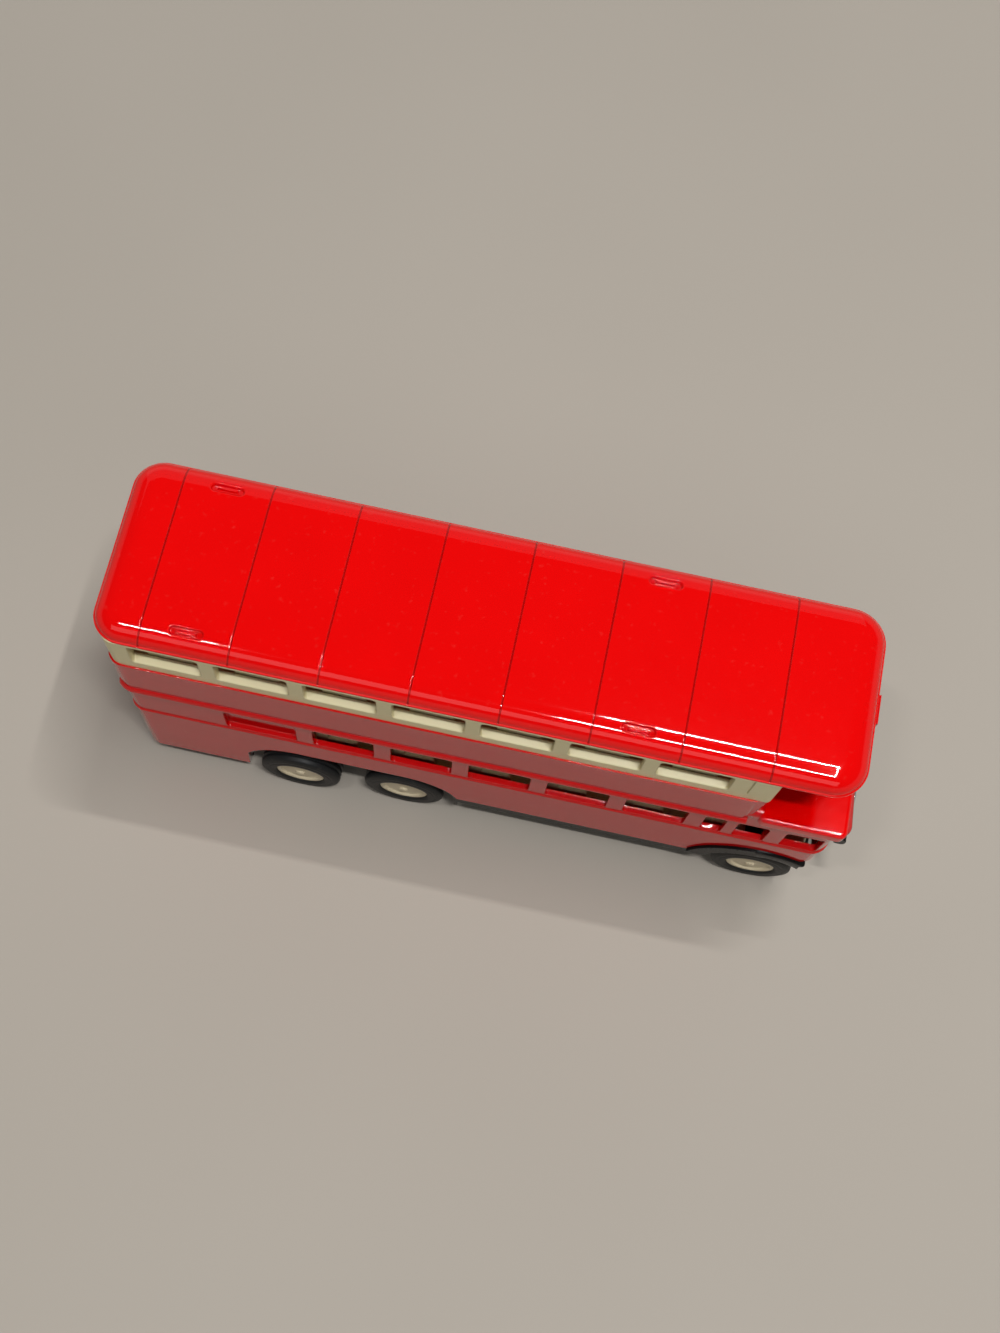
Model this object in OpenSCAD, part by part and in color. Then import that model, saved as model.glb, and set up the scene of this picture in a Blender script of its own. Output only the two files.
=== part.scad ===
// Old-style double-deck toy bus on three axles, with a half cab and a bonnet beside it.
// Millimetres, +X to the front, +Y to the side with the doorway, +Z up.
// The origin is on the ground, in the middle of the bus's length and width.

/* [Length] */
// Distance between two roof seams, one bay of the upper deck
bay_pitch = 13.5; // [12.5:0.1:15]
// Roof behind the first seam
roof_tail = 7.8; // [7.2:0.1:9]
// Roof ahead of the last seam
roof_nose = 14.2; // [13:0.1:15]
// Bumper ahead of the last seam
bumper_reach = 22.7; // [22:0.1:25]
// Rear wall behind the first seam
rear_wall_gap = 6.4; // [6:0.1:7]
// Cream window band ahead of the last seam
band_nose = 1.8; // [1:0.1:3]
// Bulkhead behind the driver, ahead of the last seam
bulkhead_gap = 6.4; // [6:0.1:7]
// Cab front ahead of the last seam
cab_nose = 15.1; // [14.6:0.1:15.5]
// Cab roof ahead of the last seam
canopy_nose = 15.9; // [15.6:0.1:16.5]

/* [Width] */
// Width over the side walls
body_w = 30; // [28:0.2:34]
// Half of the narrow bay at the front of the upper deck
bay_half_w = 9; // [8:0.1:10]
// Radius of the rear corners seen from above
rear_corner_r = 2.5; // [2.2:0.1:3.5]
// Radius of the cab's outer corner seen from above
cab_corner_r = 3; // [2.2:0.1:4]
// Radius of the cab roof's corners seen from above
canopy_corner_r = 2.2; // [1.6:0.1:3]

/* [Heights above the ground] */
// Lower edge of the red side
skirt_z = 10; // [9.4:0.1:10.6]
// Lower edge of the lower windows at the outer face
lower_sill_z = 25.2; // [24:0.1:26]
// Upper edge of the lower windows
lower_head_z = 32.9; // [32:0.1:34]
// Middle of the half-round rail above the lower windows
rail_z = 35.9; // [35.4:0.1:36.4]
// Top of the cab roof
canopy_z = 39.9; // [39:0.1:41]
// Top of the red panel between the decks
panel_z = 47.4; // [46.5:0.1:48.4]
// Lower edge of the upper windows at the outer face
upper_sill_z = 49.7; // [49.4:0.1:50.6]
// Upper edge of the cream band, where the roof sits
gutter_z = 56.8; // [56.2:0.1:57.4]
// Top of the roof
roof_z = 59.4; // [58.8:0.1:61]

/* [Walls] */
// Wall of the red casting
wall = 1.5; // [1.2:0.1:1.8]
// Wall of the cream window band
band_wall = 1.5; // [1.2:0.1:1.7]
// Wall of the roof
roof_wall = 1.4; // [1:0.1:1.6]
// How far the panel between the decks stands out
panel_raise = 0.3; // [0.15:0.05:0.5]
// How far the half-round rail stands out
rail_raise = 0.8; // [0.5:0.05:1]
// Radius of the half-round rail
rail_r = 1.1; // [0.9:0.05:1.3]

/* [Windows] */
// Width of the posts between the upper windows
upper_post_w = 2.3; // [1.8:0.1:3]
// Width of the posts between the lower windows
lower_post_w = 2.75; // [2:0.05:3.4]
// Rear post of an upper window ahead of its seam
upper_post_gap = 8.8; // [8:0.1:9.4]
// Corner radius of the windows
window_r = 0.8; // [0.4:0.1:1.2]
// Fall of the upper sills from the inside to the outside
upper_sill_fall = 0.4; // [0.2:0.1:0.8]
// Fall of the lower sills from the inside to the outside
lower_sill_fall = 0.5; // [0.2:0.1:0.9]
// First post of the lower window row ahead of the second seam
lower_row_start = 8.5; // [8:0.1:9]
// Last post of the lower window row ahead of the last seam but one
lower_row_end = 5.8; // [5.2:0.1:6.2]

/* [Wheels] */
// Outer diameter of the tyres
tyre_d = 14.1; // [13.4:0.1:14.6]
// Width of a tyre
tyre_w = 4.2; // [3.4:0.1:4.6]
// Diameter of the disc hubs
hub_d = 8.4; // [7.4:0.1:9.4]
// Diameter of the axles
axle_d = 2; // [1.6:0.1:2.4]
// Rearmost axle ahead of the second seam
rear_axle_gap = 8; // [7.6:0.1:8.4]
// Distance between the two rear axles
tandem_base = 18.3; // [17.6:0.1:19]
// Front axle ahead of the last seam
front_axle_gap = 7.3; // [6.8:0.1:7.6]
// How far the rearmost wheels stand outside the others
rear_wheel_out = 1; // [0:0.1:1.4]
// Radius of the rear wheel arch in the red side
rear_arch_r = 9.9; // [9.7:0.1:10.3]
// Radius of the front wheel arch in the red side
front_arch_r = 12.2; // [12:0.1:12.6]

/* [Roof] */
// Width of the roof seams, one to a bay
seam_w = 0.4; // [0.2:0.05:0.8]
// Depth of the roof seams
seam_depth = 0.25; // [0.15:0.05:0.4]
// Width of the rounded edge round the roof
roof_edge_w = 4.3; // [3.5:0.1:4.4]
// Radius of the roof's front corners seen from above
roof_front_r = 6.5; // [5:0.1:8]
// Radius of the roof's rear corners seen from above
roof_rear_r = 4.5; // [4.5:0.1:6]
// Length of a roof ventilator
vent_l = 5.1; // [4:0.1:6]
// Width of a roof ventilator
vent_w = 1.4; // [1:0.1:1.8]
// Distance of the ventilators from the middle of the roof
vent_y = 11.8; // [11:0.1:12.4]

/* [Hidden] */
$fn = 48;

// Overrun of every cut past the face that it leaves
over = 1;
// Overlap of two shapes that belong to one solid
bite = 0.2;
// Gap between pieces that are set against each other
seat_gap = 0.15;
// Radial gap of a shaft that turns in its bore
running_gap = 0.05;
// Radial gap of a piece that is pushed on and stays
push_gap = 0.02;

// Places along the bus
bays = 7;
overall_l = roof_tail + bays * bay_pitch + bumper_reach;
rear_x = -overall_l / 2;
function seam_x(i) = rear_x + roof_tail + i * bay_pitch;
last_seam_x = seam_x(bays);
roof_front_x = last_seam_x + roof_nose;
rear_wall_x = seam_x(0) - rear_wall_gap;
band_front_x = last_seam_x + band_nose;
bulkhead_x = last_seam_x + bulkhead_gap;
cab_front_x = last_seam_x + cab_nose;
canopy_front_x = last_seam_x + canopy_nose;
bumper_front_x = last_seam_x + bumper_reach;
rear_axle_x = seam_x(1) + rear_axle_gap;
middle_axle_x = rear_axle_x + tandem_base;
front_axle_x = last_seam_x + front_axle_gap;
axle_xs = [rear_axle_x, middle_axle_x, front_axle_x];

// Places across the bus
half_w = body_w / 2;
inner_half_w = half_w - wall;
band_half_w = half_w;
band_inner_w = band_half_w - band_wall;
roof_inset = 0.2;
roof_half_w = half_w - roof_inset;

// The cab roof, and the wall heights that follow it
canopy_t = 2.5;
canopy_under_z = canopy_z - canopy_t;
canopy_edge_r = 1;
canopy_out = 0.15;
panel_rail_gap = 0.45;
panel_foot_z = rail_z + rail_r + panel_rail_gap;
panel_front_gap = 0.9;
waist_r = 0.4;
waist_raise = 0.25;
waist_drop = 0.7;
waist_z = lower_sill_z - waist_drop;

// Cab, bonnet and front bay
cab_side_y = -0.2;
cab_floor_z = 19.2;
cab_wall = 1.2;
screen_side_gap = 2.2;
screen_rise = 0.8;
screen_z0 = lower_sill_z + screen_rise;
screen_z1 = lower_head_z + screen_rise;
bonnet_y0 = 0.4;
bonnet_w = 7.6;
bonnet_y = bonnet_y0 + bonnet_w / 2;
bonnet_z0 = 12.5;
bonnet_z = 28.4;
bonnet_r = 2.2;
bonnet_l = 10.4;
bonnet_front_x = bulkhead_x + bonnet_l;
louvre_count = 5;
louvre_w = 0.5;
louvre_h = 5;
louvre_depth = 0.3;
louvre_pitch = 1.4;
bay_wall = 1.2;
bay_front_gap = 0.7;
bay_front_x = roof_front_x - bay_front_gap;
bay_corner_r = 2;
bay_sill_rise = 5;
bay_sill_z = canopy_z + bay_sill_rise;
bay_post_w = 2.4;
box_half_w = 2.3;
box_out = 1.7;
box_h = 4.2;
bay_head_gap = 0.8;
bay_head_z = gutter_z - box_h - bay_head_gap;

// Lower windows: a row of like windows, then three of the cab end
row_windows = 5;
row_x0 = seam_x(1) + lower_row_start;
row_x1 = seam_x(bays - 1) + lower_row_end;
row_pitch = (row_x1 - row_x0) / row_windows;
small_window_w = 3.5;
small_post_w = 1.85;
saloon_post_gap = 0.8;
saloon_window_end = bulkhead_x - saloon_post_gap;
cab_post_gap = 1.9;
cab_window_x0 = bulkhead_x + cab_post_gap;
cab_corner_post = 2;
cab_window_x1 = cab_front_x - cab_corner_post;
small_window_x = row_x1 + lower_post_w;
saloon_window_x = small_window_x + small_window_w + small_post_w;
lower_windows = concat(
    [for (i = [0 : row_windows - 1]) [row_x0 + i * row_pitch + lower_post_w, row_x0 + (i + 1) * row_pitch]],
    [[small_window_x, small_window_x + small_window_w], [saloon_window_x, saloon_window_end],
     [cab_window_x0, cab_window_x1]]);
blank_depth = 0.9;
blank_gap = 10.1;
blank_x0 = seam_x(0) + blank_gap;
door_rear_post = 4;
door_front_post = 1.6;
door_x0 = rear_wall_x + door_rear_post;
door_x1 = rear_axle_x - rear_arch_r - door_front_post;
door_z0 = 13.6;
door_r = 1.5;
rear_window_half_w = 8.5;

// Upper windows: one to a bay, the first one shorter
first_window_gap = 2;
first_window_x = seam_x(0) - first_window_gap;
upper_head_h = 0.6;
upper_head_z = gutter_z - upper_head_h;
function upper_post_x(i) = seam_x(i) + upper_post_gap;
upper_windows = concat([[first_window_x, upper_post_x(0)]],
    [for (i = [1 : bays - 1]) [upper_post_x(i - 1) + upper_post_w, upper_post_x(i)]]);
band_line_gap = 2.7;
band_line_x = upper_post_x(bays - 1) + band_line_gap;
band_line_w = 0.25;
band_line_depth = 0.2;
rear_pane_w = 5.2;
rear_pane_pitch = 6.6;

// Decks, seats and the posts that hold the shell together
deck_ledge_w = 1.4;
deck_ledge_t = 1.4;
deck_z = 45;
deck_t = 1.2;
bridge_l = 6;
bridge_xs = [seam_x(1), seam_x(bays - 1)];
roof_post_r = 2.2;
roof_pilot_r = 0.9;
screw_shank_r = 0.85;
screw_hole_r = 1.1;
screw_head_r = 2;
screw_head_t = 1.1;
screw_grip = 5;
body_post_r = 2.4;
body_post_sink = 0.5;
post_wall_gap = body_post_r - body_post_sink;
body_post_xs = [rear_wall_x + wall + post_wall_gap, bulkhead_x - post_wall_gap];
body_post_z1 = canopy_under_z + bite;
seat_l = 7;
seat_back_t = 1.9;
seat_cushion_h = 3.7;
seat_back_h = 6;
seat_aisle = 4.6;
seat_edge_gap = 0.25;
seat_front_r = 0.8;
upper_seat_half_w = band_inner_w - seat_edge_gap;
tray_z = 17.5;
tray_t = 1.2;
tray_half_w = inner_half_w - seat_gap;
lower_seat_h = 5.2;
lower_back_h = 10.5;
platform_z = 12.4;

// Roof edge, a quarter of a superellipse from the gutter to the flat top
edge_power = 2.3;
edge_steps = 8;
gutter_h = 0.6;
gutter_out = 0.2;
roof_h = roof_z - gutter_z;
roof_post_z0 = deck_z;
vent_depth = 0.5;
vent_bar_w = 0.45;
vent_shares = [0.5, 5.5];
vent_bar_share = 0.5;
vent_bar_l = vent_l * vent_bar_share;

// Chassis: plate, rim, wheel wells, front wings, bumper
base_z = 5.5;
base_t = 2;
rim_z = 7.7;
rim_w = 2.2;
base_inset = 0.3;
base_half_w = half_w - base_inset;
base_top_z = skirt_z - seat_gap;
lip_t = 1.2;
lip_half_w = inner_half_w - seat_gap;
lip_h = 2;
lip_z = skirt_z + lip_h;
base_x0 = rear_wall_x + base_inset;
base_x1 = bulkhead_x - base_inset;
well_gap = 2.1;
well_wall_y = 8.4;
well_wall_t = 1.4;
well_y = well_wall_y + well_wall_t;
tyre_r = tyre_d / 2;
axle_r = axle_d / 2;
well_r = tyre_r + well_gap;
liner_r = rear_arch_r - seat_gap;
wing_r = front_arch_r - seat_gap;
wing_out = 0.45;
wing_half_w = half_w + wing_out;
wing_top_z = cab_floor_z - seat_gap;
wing_t = 3.2;
wing_low_z = 12.5;
wing_reach = 1.7;
wing_front_x = cab_front_x + wing_reach;
wing_tip_r = 1.4;
tray_post_r = 1.6;
tray_post_gaps = [14, 34];
tray_post_xs = [for (gap = tray_post_gaps) middle_axle_x + gap];
tray_post_y = 5;
frame_half_w = 7;
frame_z1 = 9;
bumper_half_w = 8.6;
bumper_z0 = 8.4;
bumper_h = 2.8;
bumper_t = 2;
frame_front_x = bumper_front_x - bumper_t;
bumper_r = 0.9;
spring_y = 6;
spring_w = 2;

// Radiator and lamps
radiator_t = 1.8;
radiator_side = 0.5;
radiator_z0 = frame_z1 + seat_gap;
radiator_rise = 1.1;
radiator_z = bonnet_z + radiator_rise;
radiator_frame = 1;
radiator_r = 2.4;
core_depth = 0.9;
slat_count = 6;
slat_w = 0.5;
slat_out = 0.25;
cap_r = 0.8;
cap_h = 0.8;
lamp_r = 1.9;
lamp_l = 3.4;
lamp_lens_h = 0.5;
lamp_bowl_share = 0.75;
lamp_z = 18.6;
lamp_gap_x = 3;
lamp_x = bumper_front_x - lamp_gap_x;
lamp_bar_t = 1.8;
lamp_bar_h = 1.6;
lamp_gap = 2.6;
lamp_stem_r = 0.6;
lamp_bar_end = 1.2;
lamp_ys = [bonnet_y + bonnet_w / 2 + lamp_gap, bonnet_y - bonnet_w / 2 - lamp_gap];

// Cab furniture
cab_floor_t = 1.1;
cab_seat_l = 2.6;
cab_seat_h = 1.8;
cab_seat_w = 5;
cab_back_h = 6.4;
cab_back_t = 1;
cab_seat_y = -9.2;
dash_h = 2.2;
dash_t = 0.9;
steer_r = 1.85;
steer_rim_r = 0.35;
steer_tilt = 18;
steer_gap = 3.75;
steer_x = cab_front_x - steer_gap;
steer_z = 23;
steer_hub_r = 0.6;
column_r = 0.4;
spoke_count = 3;
spoke_share = 0.65;

// Wheels
rim_r = hub_d / 2;
tyre_shoulder_r = 1;
tyre_groove_w = 0.5;
tyre_groove_share = 0.25;
tyre_groove_depth = 0.3;
tyre_lip = 0.35;
hub_dish = 0.5;
hub_ring_w = 0.8;
hub_boss_r = 1.7;
hub_nub_r = 0.8;
hub_nub_h = 0.5;
hub_play = 0.3;

body_red = "#d80d0d";
cream = "#d6cda2";
base_black = "#1c1c1e";
bright = "#c9ccd0";
rubber = "#26272a";

// Plan outline with its rear and its front corners rounded
module round_plan(x0, x1, half, rear_r, front_r) {
    translate([x0 + rear_r, -half]) square([x1 - front_r - x0 - rear_r, 2 * half]);
    translate([x0, -half + rear_r]) square([rear_r + bite, 2 * (half - rear_r)]);
    translate([x1 - front_r - bite, -half + front_r]) square([front_r + bite, 2 * (half - front_r)]);
    for (side = [-1, 1]) {
        translate([x0 + rear_r, side * (half - rear_r)]) circle(rear_r);
        translate([x1 - front_r, side * (half - front_r)]) circle(front_r);
    }
}

// Upright block over a rounded plan, from z0 to z1
module slab(x0, x1, half, rear_r, front_r, z0, z1) {
    translate([0, 0, z0]) linear_extrude(z1 - z0) round_plan(x0, x1, half, rear_r, front_r);
}

// Outline in the XZ plane carried across the bus from y0 to y1
module across(y0, y1) {
    translate([0, y1, 0]) rotate([90, 0, 0]) linear_extrude(y1 - y0) children();
}

// Outline in the YZ plane carried along the bus from x0 to x1
module along(x0, x1) {
    translate([x0, 0, 0]) rotate([90, 0, 90]) linear_extrude(x1 - x0) children();
}

module both_sides() {
    children();
    mirror([0, 1, 0]) children();
}

// Rectangle from (a0, b0) to (a1, b1) with round corners
module round_rect(a0, b0, a1, b1, r) {
    translate([a0 + r, b0]) square([a1 - a0 - 2 * r, b1 - b0]);
    translate([a0, b0 + r]) square([a1 - a0, b1 - b0 - 2 * r]);
    for (a = [a0 + r, a1 - r], b = [b0 + r, b1 - r]) translate([a, b]) circle(r);
}

// Window in the side wall at +Y, cut to the given depth, with a sill that falls to the outside
module window_cut(x0, x1, sill_z, head_z, fall, face_y, depth, wall_t) {
    inner_y = face_y - wall_t;
    across(face_y - depth, face_y + over) round_rect(x0, sill_z + fall, x1, head_z, window_r);
    intersection() {
        across(face_y - depth, face_y + over) round_rect(x0, sill_z, x1, head_z, window_r);
        along(x0, x1) polygon([[face_y + over, sill_z - fall * over / wall_t], [inner_y, sill_z + fall],
            [inner_y, head_z], [face_y + over, head_z]]);
    }
}

// Half-round bead along both sides and round the rear corners
module bead(z, r, raise, x1) {
    line_y = half_w + raise - r;
    both_sides() {
        translate([rear_wall_x + rear_corner_r, line_y, z]) rotate([0, 90, 0])
            cylinder(r = r, h = x1 - rear_wall_x - rear_corner_r);
        translate([rear_wall_x + rear_corner_r, half_w - rear_corner_r, z]) rotate([0, 0, 90])
            rotate_extrude(angle = 90) translate([rear_corner_r + raise - r, 0]) circle(r);
    }
    translate([rear_wall_x - raise + r, 0, z]) rotate([90, 0, 0])
        cylinder(r = r, h = 2 * (half_w - rear_corner_r), center = true);
}

// Block with square rear corners, round front corners and a rounded upper edge
module soft_nose(x0, x1, half, corner_r, z0, z1, edge_r) {
    slab(x0 - corner_r, x1, half, corner_r, corner_r, z0, z1 - edge_r);
    slab(x0 - corner_r, x1 - edge_r, half - edge_r, corner_r - edge_r, corner_r - edge_r,
        z1 - edge_r - bite, z1);
    both_sides() {
        translate([x0 - corner_r, half - edge_r, z1 - edge_r]) rotate([0, 90, 0])
            cylinder(r = edge_r, h = x1 - x0);
        translate([x1 - corner_r, half - corner_r, z1 - edge_r])
            rotate_extrude(angle = 90) translate([corner_r - edge_r, 0]) circle(edge_r);
    }
    translate([x1 - edge_r, 0, z1 - edge_r]) rotate([90, 0, 0])
        cylinder(r = edge_r, h = 2 * (half - corner_r), center = true);
}

// Wheel arch outline over the wheels at the given places along the bus
module arch(xs, r) {
    for (x = xs) translate([x, tyre_r]) circle(r);
    for (i = [1 : 1 : len(xs) - 1]) translate([xs[i - 1], 0]) square([xs[i] - xs[i - 1], tyre_r + r]);
}

// Cab outline seen from above, with its one round corner
module cab_plan(inset) {
    r = cab_corner_r - inset;
    x1 = cab_front_x - inset;
    y0 = -half_w + inset;
    y1 = cab_side_y - inset;
    translate([bulkhead_x, y0]) square([x1 - r - bulkhead_x, y1 - y0]);
    translate([x1 - r - bite, y0 + r]) square([r + bite, y1 - y0 - r]);
    translate([x1 - r, y0 + r]) circle(r);
}

// Bonnet beside the cab, with round shoulders
module bonnet_outline(inset) {
    r = bonnet_r - inset;
    y0 = bonnet_y0 + inset;
    w = bonnet_w - 2 * inset;
    translate([y0, bonnet_z0]) square([w, bonnet_z - inset - r - bonnet_z0]);
    translate([y0 + r, bonnet_z - inset - r - bite]) square([w - 2 * r, r + bite]);
    for (y = [y0 + r, y0 + w - r]) translate([y, bonnet_z - inset - r]) circle(r);
}

module body_walls() {
    front_r = canopy_corner_r / 2;
    difference() {
        union() {
            slab(rear_wall_x, bulkhead_x + wall, half_w, rear_corner_r, front_r, skirt_z,
                canopy_under_z + bite);
            slab(rear_wall_x, band_front_x, half_w, rear_corner_r, front_r, rail_z, panel_z);
            slab(rear_wall_x - panel_raise, band_front_x - panel_front_gap, half_w + panel_raise,
                rear_corner_r + panel_raise, front_r, panel_foot_z, panel_z);
            bead(rail_z, rail_r, rail_raise, band_front_x - panel_front_gap);
            bead(waist_z, waist_r, waist_raise, bulkhead_x);
            soft_nose(band_front_x, canopy_front_x, half_w + canopy_out, canopy_corner_r, canopy_under_z,
                canopy_z,
                canopy_edge_r);
        }
        slab(rear_wall_x + wall, bulkhead_x, inner_half_w, rear_corner_r - wall, front_r,
            skirt_z - over, canopy_under_z);
        slab(rear_wall_x + wall, band_front_x - wall, inner_half_w, rear_corner_r - wall, front_r,
            skirt_z, panel_z + over);
    }
}

// Waist bead carried on along the cab, round its corner and across its front
module cab_bead() {
    line = waist_raise - waist_r;
    corner_x = cab_front_x - cab_corner_r;
    corner_y = -half_w + cab_corner_r;
    translate([bulkhead_x, -half_w - line, waist_z]) rotate([0, 90, 0])
        cylinder(r = waist_r, h = corner_x - bulkhead_x);
    translate([corner_x, corner_y, waist_z]) rotate([0, 0, -90])
        rotate_extrude(angle = 90) translate([cab_corner_r + line, 0]) circle(waist_r);
    translate([cab_front_x + line, cab_side_y, waist_z]) rotate([90, 0, 0])
        cylinder(r = waist_r, h = cab_side_y - corner_y);
}

module cab_shell() {
    difference() {
        union() {
            translate([0, 0, cab_floor_z]) linear_extrude(canopy_under_z + bite - cab_floor_z) cab_plan(0);
            cab_bead();
        }
        translate([0, 0, cab_floor_z - over]) linear_extrude(canopy_under_z + over - cab_floor_z)
            cab_plan(cab_wall);
        translate([cab_front_x - cab_wall - over, 0, 0]) along(0, cab_wall + 2 * over)
            round_rect(-half_w + screen_side_gap, screen_z0, cab_side_y - screen_side_gap, screen_z1,
                window_r);
    }
}

module bonnet() {
    difference() {
        along(bulkhead_x, bonnet_front_x) bonnet_outline(0);
        translate([0, 0, -over]) along(bulkhead_x - over, bonnet_front_x - cab_wall)
            bonnet_outline(cab_wall);
        for (i = [0 : louvre_count - 1])
            translate([bulkhead_x + wall + (i + 1) * louvre_pitch, bonnet_y0 + bonnet_w - louvre_depth,
                bonnet_z - bonnet_r - louvre_h]) cube([louvre_w, louvre_depth + over, louvre_h]);
    }
}

// Ledge that carries the upper deck, with two bridges for the roof screws
module deck_supports() {
    ledge_z = deck_z - deck_ledge_t;
    difference() {
        slab(rear_wall_x + wall - bite, band_front_x - wall + bite, inner_half_w + bite,
            rear_corner_r - wall, rear_corner_r - wall, ledge_z, deck_z);
        slab(rear_wall_x + wall + deck_ledge_w, band_front_x - wall - deck_ledge_w,
            inner_half_w - deck_ledge_w, rear_corner_r - wall, rear_corner_r - wall, ledge_z - over,
                deck_z + over);
    }
    for (x = bridge_xs) translate([x - bridge_l / 2, -inner_half_w, ledge_z])
        cube([bridge_l, 2 * inner_half_w, deck_ledge_t]);
    for (x = body_post_xs) translate([x, 0, lip_z + seat_gap])
        cylinder(r = body_post_r, h = body_post_z1 - lip_z - seat_gap);
}

module lower_body() {
    color(body_red) difference() {
        union() {
            body_walls();
            cab_shell();
            bonnet();
            deck_supports();
        }
        // Windows on both sides; the cab's own is on the driver's side only
        for (i = [0 : len(lower_windows) - 2]) both_sides()
            window_cut(lower_windows[i][0], lower_windows[i][1], lower_sill_z, lower_head_z,
                lower_sill_fall,
                half_w, wall + over, wall);
        mirror([0, 1, 0]) window_cut(cab_window_x0, cab_window_x1, lower_sill_z, lower_head_z,
            lower_sill_fall,
            half_w, wall + over, wall);
        // Blank panel over the stairs, and the doorway opposite
        mirror([0, 1, 0]) window_cut(blank_x0, row_x0, lower_sill_z, lower_head_z, lower_sill_fall,
            half_w, blank_depth, wall);
        across(inner_half_w - over, half_w + over) round_rect(door_x0, door_z0, door_x1, lower_head_z,
            door_r);
        // Windows in the rear wall, and in the front wall over the bonnet
        along(rear_wall_x - over, rear_wall_x + wall + bite)
            round_rect(-rear_window_half_w, lower_sill_z, rear_window_half_w, lower_head_z, window_r);
        along(bulkhead_x - over, bulkhead_x + wall + over)
            round_rect(bonnet_y0 + bonnet_r, bonnet_z + window_r, inner_half_w - window_r,
                lower_head_z + window_r,
                window_r);
        // Wheel arches
        both_sides() across(well_wall_y - seat_gap, half_w + over) {
            arch([rear_axle_x, middle_axle_x], rear_arch_r);
            arch([front_axle_x], front_arch_r);
        }
        // Screw bores
        for (x = bridge_xs) translate([x, 0, deck_z - deck_ledge_t - over])
            cylinder(r = screw_hole_r, h = deck_ledge_t + 2 * over);
        for (x = body_post_xs) translate([x, 0, lip_z - over])
            cylinder(r = roof_pilot_r, h = screw_grip + 2 * over);
    }
}

// Half of the roof's upright section at its edge: from the gutter over the round to the flat top
function edge_points(reach, drop) = [for (i = [0 : edge_steps])
    let (a = 90 * i / edge_steps)
    [reach - roof_edge_w + roof_edge_w * pow(cos(a), 2 / edge_power),
     gutter_z + (roof_h - drop) * pow(sin(a), 2 / edge_power)]];

module edge_outline(reach, drop) {
    polygon(concat([[0, gutter_z]], edge_points(reach, drop), [[0, roof_z - drop]]));
}

// Corner of the roof: the edge outline turned about the corner's centre
module roof_corner(x, y, r, drop) {
    translate([x, y, 0]) rotate_extrude() edge_outline(r, drop);
}

// Roof block with the same rounded edge on all four sides
module roof_block(drop) {
    side_l = roof_front_x - roof_front_r - rear_x - roof_rear_r;
    both_sides() {
        roof_corner(roof_front_x - roof_front_r, roof_half_w - roof_front_r, roof_front_r, drop);
        roof_corner(rear_x + roof_rear_r, roof_half_w - roof_rear_r, roof_rear_r, drop);
        along(rear_x + roof_rear_r, rear_x + roof_rear_r + side_l) edge_outline(roof_half_w, drop);
    }
    across(-roof_half_w + roof_front_r, roof_half_w - roof_front_r)
        translate([roof_front_x - roof_front_r, 0]) edge_outline(roof_front_r, drop);
    across(-roof_half_w + roof_rear_r, roof_half_w - roof_rear_r)
        translate([rear_x + roof_rear_r, 0]) mirror([1, 0]) edge_outline(roof_rear_r, drop);
}

module roof() {
    color(body_red) difference() {
        union() {
            roof_block(0);
            slab(rear_x, roof_front_x, roof_half_w + gutter_out, roof_rear_r, roof_front_r, gutter_z,
                gutter_z + gutter_h);
            for (x = bridge_xs) translate([x, 0, roof_post_z0])
                cylinder(r = roof_post_r, h = roof_z - roof_wall - roof_post_z0 + bite);
        }
        // Hollow inside, a little smaller than the band that carries the roof
        difference() {
            slab(rear_wall_x + band_wall, roof_front_x - roof_edge_w, band_inner_w - roof_wall,
                roof_rear_r - roof_wall,
                roof_rear_r - roof_wall, gutter_z - over, roof_z - roof_wall);
            for (x = bridge_xs) translate([x, 0, gutter_z - 2 * over])
                cylinder(r = roof_post_r, h = roof_h + 2 * over);
        }
        // Seams across the roof
        for (i = [0 : bays]) along(seam_x(i) - seam_w / 2, seam_x(i) + seam_w / 2) difference() {
            translate([-half_w - over, gutter_z + gutter_h]) square([2 * (half_w + over), roof_h + over]);
            for (side = [0, 1]) mirror([side, 0]) edge_outline(roof_half_w - seam_depth, seam_depth);
        }
        // Ventilators near the edges, each with a bar left standing in it
        for (share = vent_shares, side = [-1, 1])
            translate([seam_x(0) + share * bay_pitch, side * vent_y, roof_z - vent_depth - seam_depth])
                difference() {
                    linear_extrude(vent_depth + over) round_rect(-vent_l / 2, -vent_w / 2, vent_l / 2,
                        vent_w / 2,
                        vent_w / 2 - push_gap);
                    translate([-vent_bar_l / 2, -vent_bar_w / 2, -over])
                        cube([vent_bar_l, vent_bar_w, vent_depth + over]);
                }
        for (x = bridge_xs) translate([x, 0, roof_post_z0 - over])
            cylinder(r = roof_pilot_r, h = screw_grip + over);
    }
}

module upper_window_band() {
    front_r = canopy_corner_r / 2;
    color(cream) difference() {
        slab(rear_wall_x, band_front_x, band_half_w, rear_corner_r, front_r, panel_z, gutter_z);
        slab(rear_wall_x + band_wall, band_front_x - band_wall, band_inner_w, rear_corner_r - band_wall,
            rear_corner_r - band_wall, panel_z - over, gutter_z + over);
        for (w = upper_windows) both_sides()
            window_cut(w[0], w[1], upper_sill_z, upper_head_z, upper_sill_fall, band_half_w,
                band_wall + over,
                band_wall);
        for (i = [-1 : 1]) along(rear_wall_x - over, rear_wall_x + band_wall + bite)
            round_rect(i * rear_pane_pitch - rear_pane_w / 2, upper_sill_z,
                i * rear_pane_pitch + rear_pane_w / 2,
                upper_head_z, window_r);
        along(band_front_x - band_wall - over, band_front_x + over)
            round_rect(-bay_half_w + bay_wall, panel_z - 2 * over, bay_half_w - bay_wall, upper_head_z,
                window_r);
        both_sides() translate([band_line_x, band_half_w - band_line_depth, upper_sill_z])
            cube([band_line_w, band_line_depth + over, gutter_z + over - upper_sill_z]);
    }
}

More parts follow.
